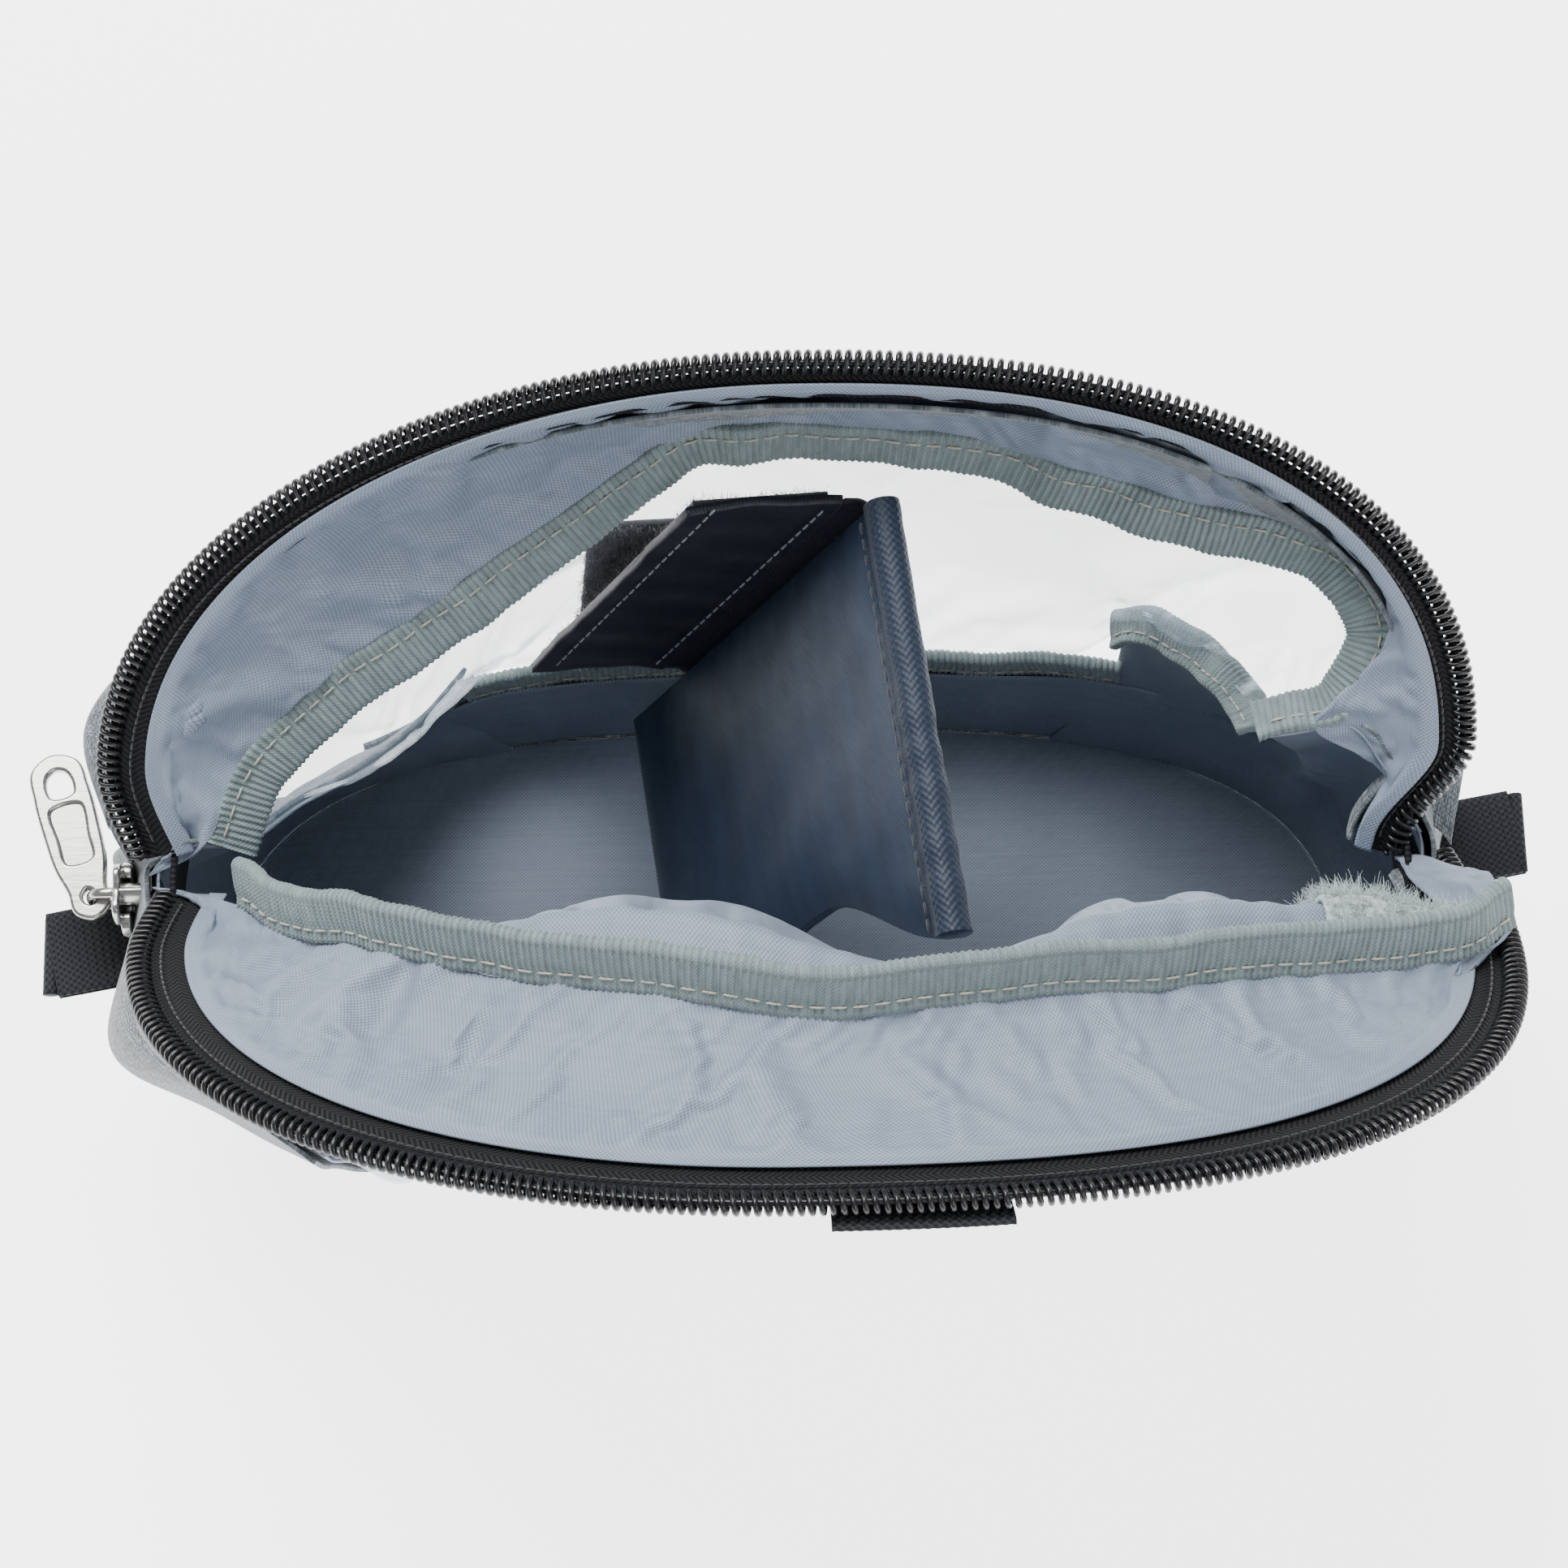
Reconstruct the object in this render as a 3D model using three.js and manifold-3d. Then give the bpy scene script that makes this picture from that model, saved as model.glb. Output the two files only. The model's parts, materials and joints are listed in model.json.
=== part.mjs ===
// Wide-mouth zipped travel pouch, standing with its mouth open.
// Millimetres. X runs along the pouch, -Y is the front and +Z is up.
// The origin is the centre of the flat underside of the base.
import * as THREE from 'three';
import { mergeVertices } from 'three/addons/utils/BufferGeometryUtils.js';
import Module from 'manifold-3d';

const wasm = await Module();
wasm.setup();

const rad = THREE.MathUtils.degToRad;
const mix = THREE.MathUtils.lerp;

// Zip arch. Its two ends lie on one line along X, the mouth line, and each half turns about it.
const MOUTH_Z = 75;
const ARCH = { halfLength: 102, height: 86, leftPower: 2.2, rightPower: 2.45 };
const OPEN_ANGLE = rad(45);      // each half leans this far from upright
const ZIP_START = 0.16;          // share of the half turn left free at each end for the slider
const COIL = { width: 3, depth: 2.3 };
const TAPE = { from: 3.3, to: 15, depth: 0.6 };
const BAND_FROM = 9;             // inset where the fabric is sewn over the tape
const FRONT_BAND_TO = 19;
const REAR_BAND_TO = 21;
const REAR_BAND_BEND = rad(14.5);
const CLEARANCE = 0.3;
// Each half is a stack: fabric lining inside, tape within the coil's depth, fabric outside.
const BAND = { inside: 0.7, tape: 1.4, outside: 2.5, cloth: 0.8, bindingTo: 3.3 };

// Shell of the bag body.
const BASE = { halfLength: 99, halfDepth: 46, power: 2.8, depth: 1.6, liningDepth: 0.8 };
const GUSSET_BULGE = 0.5;        // extra half length at the mouth line
const REAR_BULGE = 9.5;
const FRONT_LEAN = 10;
const WALL_SPAN = 73;            // the front and rear walls run between -X and +X of this
const CLOTH = 0.9;
const LINING = { from: 1.2, to: 1.8 };
const SKIRT_TOP = 24;            // top of the fabric below each window
const BINDING = { height: 8.5, depth: 2.6 };
const WINDOW_Z = SKIRT_TOP + BINDING.height + 2 * CLEARANCE;
const WINDOW_RISE = { rear: 20, front: 31 };

// Padded divider, held by its flap on the strip of the rear window.
const DIVIDER = { x: -25, y: 43, z: 16, height: 103, top: 57, bottom: 48, lean: rad(22.8), turn: rad(7.4) };
const FOAM = 4.4;
const DIVIDER_SKIN = 0.8;
const FLAP = { width: 22, depth: 1.6, low: 26, high: 84, offset: 2.2, hinge: 4.6, hook: 0.9 };

// Slider, its bail and its puller, at the left end of the mouth line.
const SLIDER = { x: -103.6, z: MOUTH_Z - 10, width: 9, length: 12, gap: 4.1, plate: 1.2 };
const BAIL = { reach: 4.6, wire: 1.3, span: 9 };
const PULLER = { length: 27, width: 8, depth: 1.5, lean: rad(16), eye: 1.7 };
const TAB = { width: 14, length: 20, depth: 2.8, z: 52, leftY: -4, rightY: 8 };
const ZIP_END = { width: 12, height: 11, depth: 1.2, inset: 3.5, drop: 4 };
const STRIP = { left: -35, right: -17, lean: 4, top: 88 };
const PATCH = { from: 0.9, to: 0.97, high: 0.03, low: 0.16 };  // shares of the pocket panel

const COLOURS = {
  heather: [0x7d868c, 0.95], lining: [0xa3b1c0, 0.6], tape: [0x1d1f22, 0.9], coil: [0x121315, 0.35],
  binding: [0x8fa0a2, 0.9], film: [0xdfe8ee, 0.08], navy: [0x22344f, 0.75], nickel: [0xc9c7c2, 0.25],
  webbing: [0x24272b, 0.9], loop: [0x2b2f35, 1],
};
const pouch = new THREE.Group();

function node(name, colour, geometry, parent = pouch) {
  const [color, roughness] = COLOURS[colour];
  const metalness = colour === 'nickel' ? 1 : 0;
  const material = new THREE.MeshStandardMaterial({ color, roughness, metalness });
  const mesh = new THREE.Mesh(geometry, material);
  mesh.name = name;
  parent.add(mesh);
  return mesh;
}

// A closed skin between two surfaces, each a function of u and v from 0 to 1.
function skin(front, back, columns, rows = 1) {
  const position = [], index = [];
  const at = (side, i, j) => (side * (rows + 1) + j) * (columns + 1) + i;
  const quad = (a, b, c, d) => index.push(a, b, c, a, c, d);
  for (const surface of [front, back])
    for (let j = 0; j <= rows; j++)
      for (let i = 0; i <= columns; i++) position.push(...surface(i / columns, j / rows));
  for (let j = 0; j < rows; j++) {
    for (let i = 0; i < columns; i++) {
      quad(at(0, i, j), at(0, i + 1, j), at(0, i + 1, j + 1), at(0, i, j + 1));
      quad(at(1, i, j), at(1, i, j + 1), at(1, i + 1, j + 1), at(1, i + 1, j));
    }
    quad(at(0, 0, j), at(0, 0, j + 1), at(1, 0, j + 1), at(1, 0, j));
    quad(at(0, columns, j + 1), at(0, columns, j), at(1, columns, j), at(1, columns, j + 1));
  }
  for (let i = 0; i < columns; i++) {
    quad(at(0, i + 1, 0), at(0, i, 0), at(1, i, 0), at(1, i + 1, 0));
    quad(at(0, i, rows), at(0, i + 1, rows), at(1, i + 1, rows), at(1, i, rows));
  }
  const geometry = new THREE.BufferGeometry();
  geometry.setAttribute('position', new THREE.Float32BufferAttribute(position, 3));
  geometry.setIndex(volume(position, index) < 0 ? index.reverse() : index);
  geometry.computeVertexNormals();
  return geometry;
}

function volume(position, index) {
  const corner = (i) => new THREE.Vector3().fromArray(position, 3 * i);
  let sum = 0;
  for (let i = 0; i < index.length; i += 3)
    sum += corner(index[i]).dot(corner(index[i + 1]).cross(corner(index[i + 2])));
  return sum;
}

function extrude(shape, depth) {
  return new THREE.ExtrudeGeometry(shape, { depth, bevelEnabled: false, curveSegments: 8 });
}

// Turns an outline drawn across (Y) and up (Z) into a plate facing X.
const facingX = new THREE.Matrix4().makeBasis(
  new THREE.Vector3(0, 1, 0), new THREE.Vector3(0, 0, 1), new THREE.Vector3(1, 0, 0));

function outline(points) {
  return new THREE.Shape(points.map(([x, y]) => new THREE.Vector2(x, y)));
}

// One closed body out of overlapping ones.
function join(...geometries) {
  const solids = geometries.map((geometry) => {
    geometry.deleteAttribute('normal');
    geometry.deleteAttribute('uv');
    const merged = mergeVertices(geometry);
    return new wasm.Manifold(new wasm.Mesh({
      numProp: 3,
      vertProperties: new Float32Array(merged.attributes.position.array),
      triVerts: new Uint32Array(merged.index.array),
    }));
  });
  const mesh = solids.reduce((whole, solid) => whole.add(solid)).getMesh();
  const geometry = new THREE.BufferGeometry();
  geometry.setAttribute('position', new THREE.Float32BufferAttribute(mesh.vertProperties, 3));
  geometry.setIndex([...mesh.triVerts]);
  return geometry;
}

// ---- Zip halves: side is 1 at the rear and -1 at the front ----

// A point of the arch inset by a distance, as [x, distance from the mouth line].
function archPoint(turn, inset) {
  const across = Math.cos(turn);
  const power = 2 / (across > 0 ? ARCH.leftPower : ARCH.rightPower);
  const x = -Math.sign(across) * (ARCH.halfLength - inset) * Math.abs(across) ** power;
  return [x, (ARCH.height - inset) * Math.sin(turn) ** power];
}

const zipTurn = (u) => mix(ZIP_START, Math.PI - ZIP_START, u);

// A point on a zip half. dip lowers it about the mouth line, and out moves it off the half's plane,
// away from the other half.
function rimPoint(side, turn, inset, out, dip = 0) {
  const [x, reach] = archPoint(turn, inset);
  const angle = OPEN_ANGLE + dip;
  const y = reach * Math.sin(angle) + out * Math.cos(OPEN_ANGLE);
  const z = reach * Math.cos(angle) - out * Math.sin(OPEN_ANGLE);
  return [x, side * y, MOUTH_Z + z];
}

function rimStrip(side, from, to, out, depth) {
  const face = (lift) => (u, v) => rimPoint(side, zipTurn(u), mix(from, to, v), lift);
  return skin(face(out), face(out + depth), 40);
}

// The fabric band is flat over the tape and bends down past the tape's edge.
function rimBand(side, to, out, depth, bend) {
  const fold = TAPE.to + CLEARANCE;
  const face = (lift) => (u, v) => {
    const turn = zipTurn(u);
    const inset = v < 0.5 ? mix(BAND_FROM, fold, 2 * v) : mix(fold, to, 2 * v - 1);
    return rimPoint(side, turn, inset, lift, Math.max(0, 2 * v - 1) * bend * Math.sin(turn) ** 2);
  };
  return skin(face(out), face(out + depth), 40, 2);
}

for (const [name, side] of [['rear', 1], ['front', -1]]) {
  const to = side > 0 ? REAR_BAND_TO : FRONT_BAND_TO;
  const bend = side > 0 ? REAR_BAND_BEND : 0;
  node(`${name}_zip_coil`, 'coil', rimStrip(side, 0, COIL.width, CLEARANCE, COIL.depth));
  node(`${name}_zip_tape`, 'tape', rimStrip(side, TAPE.from, TAPE.to, BAND.tape, TAPE.depth));
  node(`${name}_band_lining`, 'lining', rimBand(side, to, CLEARANCE, BAND.inside, bend));
  node(`${name}_band_outer`, 'heather', rimBand(side, to, BAND.outside, BAND.cloth, bend));
}

// Upper binding of the rear window, below the rear band.
function rearBindingFace(lift) {
  return (u, v) => {
    const turn = zipTurn(u);
    const dip = (REAR_BAND_BEND + rad(1)) * Math.sin(turn) ** 2 + rad(8) * v + rad(0.6);
    return rimPoint(1, turn, REAR_BAND_TO, lift, dip);
  };
}
node('rear_upper_binding', 'binding', skin(rearBindingFace(CLEARANCE), rearBindingFace(BAND.bindingTo), 40));

// Hanging loop of webbing under the middle of the front zip half.
const LOOP_TURN = [0.505, 0.57];
const loopFace = (out) => (u, v) => rimPoint(-1, Math.PI * mix(...LOOP_TURN, u), mix(1, 14, v), out);
node('front_webbing_loop', 'webbing', skin(loopFace(3.7), loopFace(5.2), 4));

// ---- Bag body ----

function halfLength(z) {
  return BASE.halfLength + GUSSET_BULGE * Math.min(1, z / MOUTH_Z);
}

function halfDepth(side, z) {
  const rear = BASE.halfDepth + REAR_BULGE * (1 - (1 - z / 103) ** 2);
  const front = BASE.halfDepth - FRONT_LEAN * (z / 110) ** 2;
  return side > 0 ? rear : front;
}

// Depth of the front or rear wall at x and z.
function wallPoint(side, x, z, inset) {
  const share = 1 - Math.abs(x / halfLength(z)) ** BASE.power;
  return [x, side * (halfDepth(side, z) * share ** (1 / BASE.power) - inset), z];
}

// A point of an end panel that runs from the end of one wall round to the other: share goes from
// -1 at the front to 1 at the rear, and side is 1 at the right.
function gussetPoint(side, share, z, inset) {
  const power = 2 / BASE.power;
  const length = halfLength(z) - inset;
  const angle = share * Math.acos(((WALL_SPAN + CLEARANCE) / length) ** (1 / power));
  const depth = halfDepth(Math.sign(share), z) - inset;
  const x = side * length * Math.cos(angle) ** power;
  return [x, Math.sign(share) * depth * Math.abs(Math.sin(angle)) ** power, z];
}

function basePlate(inset, from, depth) {
  const shape = new THREE.Shape();
  const power = 2 / BASE.power;
  for (let i = 0; i < 48; i++) {
    const turn = (i / 48) * 2 * Math.PI;
    const x = (BASE.halfLength - inset) * Math.sign(Math.cos(turn)) * Math.abs(Math.cos(turn)) ** power;
    const y = (BASE.halfDepth - inset) * Math.sign(Math.sin(turn)) * Math.abs(Math.sin(turn)) ** power;
    i ? shape.lineTo(x, y) : shape.moveTo(x, y);
  }
  return extrude(shape, depth).translate(0, 0, from);
}
node('base_panel', 'heather', basePlate(0, 0, BASE.depth));
node('base_lining', 'lining', basePlate(3, BASE.depth + CLEARANCE, BASE.liningDepth));

const SKIRT_FOOT = BASE.depth + CLEARANCE;
const LINING_FOOT = SKIRT_FOOT + BASE.liningDepth + CLEARANCE;

function wallSkin(side, span, low, high, from, to, columns = 16, rows = 2) {
  const face = (inset) => (u, v) => {
    const x = mix(-span, span, u);
    return wallPoint(side, x, mix(low, typeof high === 'function' ? high(u) : high, v), inset);
  };
  return skin(face(from), face(to), columns, rows);
}

for (const [name, side] of [['rear', 1], ['front', -1]]) {
  const windowTop = (u) => MOUTH_Z + WINDOW_RISE[name] * Math.sin(Math.PI * u) ** 0.6;
  const bindingTop = SKIRT_TOP + CLEARANCE + BINDING.height;
  node(`${name}_lower_wall`, 'heather', wallSkin(side, WALL_SPAN, SKIRT_FOOT, SKIRT_TOP, 0, CLOTH));
  const inner = wallSkin(side, WALL_SPAN, LINING_FOOT, SKIRT_TOP, LINING.from, LINING.to);
  node(`${name}_lower_lining`, 'lining', inner);
  node(`${name}_lower_binding`, 'binding',
    wallSkin(side, WALL_SPAN - 1, SKIRT_TOP + CLEARANCE, bindingTop, -0.6, BINDING.depth - 0.6));
  node(`${name}_window_film`, 'film', wallSkin(side, WALL_SPAN - 1, WINDOW_Z, windowTop, 0.2, 0.8, 24, 4));
}

// End panels, outside and lining, from the walls' ends round the end of the base.
for (const [name, side] of [['left', -1], ['right', 1]]) {
  const face = (inset, foot) => (u, v) =>
    gussetPoint(side, mix(-1, 1, u) || 1e-9, mix(foot, MOUTH_Z, v), inset);
  node(`${name}_gusset`, 'heather', skin(face(0, SKIRT_FOOT), face(CLOTH, SKIRT_FOOT), 18, 4));
  const liningSkin = skin(face(LINING.from, LINING_FOOT), face(LINING.to, LINING_FOOT), 18, 4);
  node(`${name}_gusset_lining`, 'lining', liningSkin);
  const endBlock = new THREE.BoxGeometry(ZIP_END.depth, ZIP_END.width, ZIP_END.height);
  const end = node(`${name}_zip_end`, 'tape', endBlock);
  end.position.set(side * (halfLength(MOUTH_Z) - ZIP_END.inset), 0, MOUTH_Z - ZIP_END.drop);
  const tab = node(`${name}_tab`, 'webbing', new THREE.BoxGeometry(TAB.length, TAB.width, TAB.depth));
  const tabY = side > 0 ? TAB.rightY : TAB.leftY;
  tab.position.set(side * (halfLength(TAB.z) + CLEARANCE + TAB.length / 2), tabY, TAB.z);
}

// Loop strip down the inside of the rear window.
const stripFace = (inset) => (u, v) => {
  const x = mix(STRIP.left, STRIP.right, u) + STRIP.lean * v;
  return wallPoint(1, x, mix(WINDOW_Z, STRIP.top, v), inset);
};
node('rear_loop_strip', 'loop', skin(stripFace(1.1), stripFace(2), 3, 4));

// ---- Front pocket: its bound top edge, and the lining panel that bulges in as two lobes ----

const POCKET_INSET = 26;
const POCKET_LEAN = rad(24);
const POCKET_ENDS = 0.32;
function pocketEdge(u, drop, out) {
  const [x, reach] = archPoint(mix(POCKET_ENDS, Math.PI - POCKET_ENDS, u), POCKET_INSET);
  return [x, -reach * Math.sin(POCKET_LEAN) - out, MOUTH_Z + reach * Math.cos(POCKET_LEAN) - drop];
}
const pocketBinding = (out) => (u, v) => pocketEdge(u, BINDING.height * v, out);
node('front_pocket_binding', 'binding', skin(pocketBinding(-1.3), pocketBinding(1.3), 32));

const LOBES = { depth: 15, valleyX: 17, valleyWidth: 17, valleyDepth: 9 };
function pocketPanel(out) {
  return (u, v) => {
    const [x, y, z] = pocketEdge(u, BINDING.height + CLEARANCE, out);
    const foot = wallPoint(-1, x * 0.9, 20, 8 - out);
    const valley = Math.exp(-(((x - LOBES.valleyX) / LOBES.valleyWidth) ** 2));
    const across = Math.sin(Math.PI * u) ** 0.5;
    const down = Math.sin(Math.PI * Math.sqrt(v));
    const lobe = (LOBES.depth - LOBES.valleyDepth * valley) * down * across;
    return [mix(x, foot[0], v), mix(y, foot[1], v) + lobe, mix(z, foot[2], v)];
  };
}
node('front_pocket_panel', 'lining', skin(pocketPanel(-0.4), pocketPanel(0.4), 28, 8));

// Loop patch that closes the pocket, inside its right end.
const patchFace = (lift) => (u, v) => {
  const [x, y, z] = pocketPanel(-0.4)(mix(PATCH.from, PATCH.to, u), mix(PATCH.high, PATCH.low, v));
  return [x, y + lift, z];
};
node('pocket_loop_patch', 'loop', skin(patchFace(0.5), patchFace(1.7), 3, 2));

// ---- Divider ----

const divider = new THREE.Group();
divider.position.set(DIVIDER.x, DIVIDER.y, DIVIDER.z);
divider.rotation.set(0, DIVIDER.lean, DIVIDER.turn, 'ZYX');
pouch.add(divider);

// The divider's side outline: Y is across the bag, from 0 at the rear, and the second axis is up.
function dividerPlate(inset, depth, x) {
  const { height, top, bottom } = DIVIDER;
  const shape = outline([
    [-inset, inset], [-inset, height - inset], [-top + inset, height - inset], [-bottom + inset, inset],
  ]);
  return extrude(shape, depth).applyMatrix4(facingX).translate(x - depth / 2, 0, 0);
}
const COVER_X = (FOAM + DIVIDER_SKIN) / 2 + CLEARANCE;
node('divider_foam', 'navy', dividerPlate(1.5, FOAM, 0), divider);
node('divider_left_cover', 'navy', dividerPlate(0, DIVIDER_SKIN, -COVER_X), divider);
node('divider_right_cover', 'navy', dividerPlate(0, DIVIDER_SKIN, COVER_X), divider);
const piping = new THREE.BoxGeometry(2 * COVER_X + DIVIDER_SKIN, DIVIDER.top, 2);
const topBinding = node('divider_top_binding', 'navy', piping, divider);
topBinding.position.set(0, -DIVIDER.top / 2, DIVIDER.height + 1 + CLEARANCE);

const flapX = -FLAP.hinge - FLAP.width / 2;
const flapZ = (FLAP.low + FLAP.high) / 2;
const flapSheet = new THREE.BoxGeometry(FLAP.width, FLAP.depth, FLAP.high - FLAP.low);
const flap = node('divider_flap', 'navy', flapSheet, divider);
flap.position.set(flapX, FLAP.offset, flapZ);
const hookBlock = new THREE.BoxGeometry(FLAP.width - 2, FLAP.hook, FLAP.high - FLAP.low - 6);
const hook = node('flap_hook_tape', 'loop', hookBlock, divider);
hook.position.set(flapX, FLAP.offset + (FLAP.depth + FLAP.hook) / 2 + CLEARANCE, flapZ);

// ---- Slider ----

const slider = new THREE.Group();
slider.position.set(SLIDER.x, 0, SLIDER.z);
pouch.add(slider);

function sliderPlate(x) {
  const w = SLIDER.width / 2, l = SLIDER.length / 2;
  const shape = outline([
    [-w * 0.6, -l], [w * 0.6, -l], [w * 0.8, -l * 0.1], [w, l * 0.45], [w * 0.55, l], [-w * 0.55, l],
    [-w, l * 0.45], [-w * 0.8, -l * 0.1],
  ]);
  return extrude(shape, SLIDER.plate).applyMatrix4(facingX).translate(x, 0, 0);
}
function sliderPost() {
  const l = SLIDER.length / 2;
  const shape = outline([[0, -l * 0.2], [1.9, l * 0.5], [0, l], [-1.9, l * 0.5]]);
  const depth = SLIDER.gap + SLIDER.plate;
  return extrude(shape, depth).applyMatrix4(facingX).translate(-depth / 2, 0, 0);
}
const plateX = SLIDER.gap / 2;
const sliderParts = join(sliderPlate(plateX), sliderPlate(-plateX - SLIDER.plate), sliderPost());
node('slider_body', 'nickel', sliderParts, slider);

// Bail: a bridge on the outer plate that holds the puller.
const outerFace = -plateX - SLIDER.plate - CLEARANCE;
const half = BAIL.span / 2;
const bailShape = outline([
  [outerFace, -half], [outerFace, -half + BAIL.wire], [outerFace - BAIL.reach + BAIL.wire, -half + 2.2],
  [outerFace - BAIL.reach + BAIL.wire, half - 2.2], [outerFace, half - BAIL.wire], [outerFace, half],
  [outerFace - BAIL.reach + 0.6, half - 1.2], [outerFace - BAIL.reach, half - 2.2],
  [outerFace - BAIL.reach, -half + 2.2], [outerFace - BAIL.reach + 0.6, -half + 1.2],
]);
const facingY = new THREE.Matrix4().makeRotationX(Math.PI / 2);
const bail = extrude(bailShape, BAIL.wire).applyMatrix4(facingY).translate(0, BAIL.wire / 2, 0);
node('slider_bail', 'nickel', bail, slider);

// Puller: a flat link whose eye is threaded on the bail, with a window and a ring at its end.
const pullerShape = new THREE.Shape();
const pullerWidth = PULLER.width / 2;
const tip = PULLER.length - PULLER.eye - 1.6 - pullerWidth;
pullerShape.absarc(0, 0, PULLER.eye + 1.6, Math.PI, 2 * Math.PI);
pullerShape.lineTo(pullerWidth, 7);
pullerShape.absarc(0, tip, pullerWidth, 0, Math.PI);
pullerShape.lineTo(-PULLER.eye - 1.6, 0);
const eye = new THREE.Path().absarc(0, 0, PULLER.eye, 0, 2 * Math.PI, true);
const ring = new THREE.Path();
ring.absarc(0, tip, pullerWidth - 1.5, 0, Math.PI);
ring.lineTo(-pullerWidth + 1.5, tip - 5);
ring.lineTo(pullerWidth - 1.5, tip - 5);
pullerShape.holes.push(eye, ring);
const puller = node('puller', 'nickel', extrude(pullerShape, PULLER.depth), slider);
puller.position.set(outerFace - BAIL.reach + BAIL.wire / 2, 0, 0);
puller.rotation.z = PULLER.lean;

export default pouch;
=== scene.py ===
import math

import bpy
import numpy as np
from mathutils import Matrix, Vector
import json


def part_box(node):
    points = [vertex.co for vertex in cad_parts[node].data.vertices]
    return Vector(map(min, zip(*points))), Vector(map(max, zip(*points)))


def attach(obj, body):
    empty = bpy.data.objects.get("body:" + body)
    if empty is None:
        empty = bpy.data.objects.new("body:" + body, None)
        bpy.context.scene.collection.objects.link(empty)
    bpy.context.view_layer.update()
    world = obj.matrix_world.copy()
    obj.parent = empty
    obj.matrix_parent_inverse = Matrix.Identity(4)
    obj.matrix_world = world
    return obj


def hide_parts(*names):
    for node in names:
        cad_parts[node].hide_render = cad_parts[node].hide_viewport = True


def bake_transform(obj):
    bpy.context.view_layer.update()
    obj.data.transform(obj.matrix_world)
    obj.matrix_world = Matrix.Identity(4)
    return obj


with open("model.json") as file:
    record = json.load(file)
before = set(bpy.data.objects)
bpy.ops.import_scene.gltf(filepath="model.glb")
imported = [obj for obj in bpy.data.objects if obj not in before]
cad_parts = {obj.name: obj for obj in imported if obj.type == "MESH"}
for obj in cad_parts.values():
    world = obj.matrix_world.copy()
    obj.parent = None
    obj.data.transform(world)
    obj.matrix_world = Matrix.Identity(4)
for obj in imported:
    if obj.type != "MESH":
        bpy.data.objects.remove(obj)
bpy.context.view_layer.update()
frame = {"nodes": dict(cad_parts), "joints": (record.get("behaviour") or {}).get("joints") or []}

# Lengths below are in millimetres; MM turns them into the frame's metres.
# X runs along the pouch, -Y is the front and Z is up.
MM = 0.001
JOINTS = {joint["name"]: joint for joint in frame["joints"]}
MOUTH_Z = JOINTS["mouth_close"]["pos_m"][2] / MM
OPEN_ANGLE = math.radians(JOINTS["mouth_close"]["range_deg"][1])


# ---------------------------------------------------------------- camera

CAMERA = {"azimuth": -4, "elevation": 74, "roll": 2.8, "distance": 588, "target": (-1, 14, 75), "lens": 85.7}


def make_camera():
    azimuth, elevation, roll = (math.radians(CAMERA[k]) for k in ("azimuth", "elevation", "roll"))
    back = Vector((math.sin(azimuth) * math.cos(elevation), -math.cos(azimuth) * math.cos(elevation),
                   math.sin(elevation)))
    right = Vector((math.cos(azimuth), math.sin(azimuth), 0))
    up = back.cross(right)
    turned_right = right * math.cos(roll) + up * math.sin(roll)
    turned_up = up * math.cos(roll) - right * math.sin(roll)
    place = (Vector(CAMERA["target"]) + back * CAMERA["distance"]) * MM
    camera = bpy.data.objects.new("camera", bpy.data.cameras.new("camera"))
    camera.data.sensor_width = 36
    camera.data.lens = CAMERA["lens"]
    axes = Matrix((turned_right, turned_up, back)).transposed().to_4x4()
    camera.matrix_world = Matrix.Translation(place) @ axes
    bpy.context.scene.collection.objects.link(camera)
    bpy.context.scene.camera = camera


make_camera()


# ---------------------------------------------------------------- curves, noise and wrinkles

def mix(a, b, t):
    return a + (b - a) * t


def smooth(t):
    t = np.clip(t, 0, 1)
    return t * t * (3 - 2 * t)


def curve(points, share, even=False):
    """A smooth curve through points, at each share of its length from 0 to 1.

    With even, the points lie at even shares, however far apart they are.
    """
    p = np.asarray(points, float)
    share = np.asarray(share, float)
    steps = np.ones(len(p) - 1) if even else np.linalg.norm(np.diff(p, axis=0), axis=1)
    t = np.concatenate([[0], np.cumsum(steps)])
    t /= t[-1]
    slope = np.gradient(p, t, axis=0)
    i = np.clip(np.searchsorted(t, share, side="right") - 1, 0, len(t) - 2)
    h = (t[i + 1] - t[i])[..., None]
    f = (share - t[i])[..., None] / h
    return ((1 + 2 * f) * (1 - f) ** 2 * p[i] + f * (1 - f) ** 2 * h * slope[i]
            + f * f * (3 - 2 * f) * p[i + 1] + f * f * (f - 1) * h * slope[i + 1])


def ripple(u, v, seed, shortest, longest, waves=9):
    """Soft seeded noise of about -1 to 1 over a surface whose u and v are in millimetres."""
    random = np.random.default_rng(seed)
    total = 0
    for _ in range(waves):
        angle = random.uniform(0, 2 * math.pi)
        pitch = random.uniform(shortest, longest)
        phase = random.uniform(0, 2 * math.pi)
        total = total + np.sin(2 * math.pi * (u * math.cos(angle) + v * math.sin(angle)) / pitch + phase)
    return total / math.sqrt(waves) * 0.8


def crease(u, v, start, end, width):
    """A ridge of height 1 along the line from start to end, fading at both ends."""
    start, end = np.array(start, float), np.array(end, float)
    d = end - start
    along = ((u - start[0]) * d[0] + (v - start[1]) * d[1]) / (d @ d)
    nearest = np.clip(along, 0, 1)
    far = np.hypot(u - start[0] - nearest * d[0], v - start[1] - nearest * d[1])
    return np.exp(-(far / width) ** 2) * np.sin(np.pi * np.clip(along * 0.8 + 0.1, 0, 1))


# ---------------------------------------------------------------- meshes

def unit(vectors):
    return vectors / np.maximum(np.linalg.norm(vectors, axis=-1, keepdims=True), 1e-9)


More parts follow.
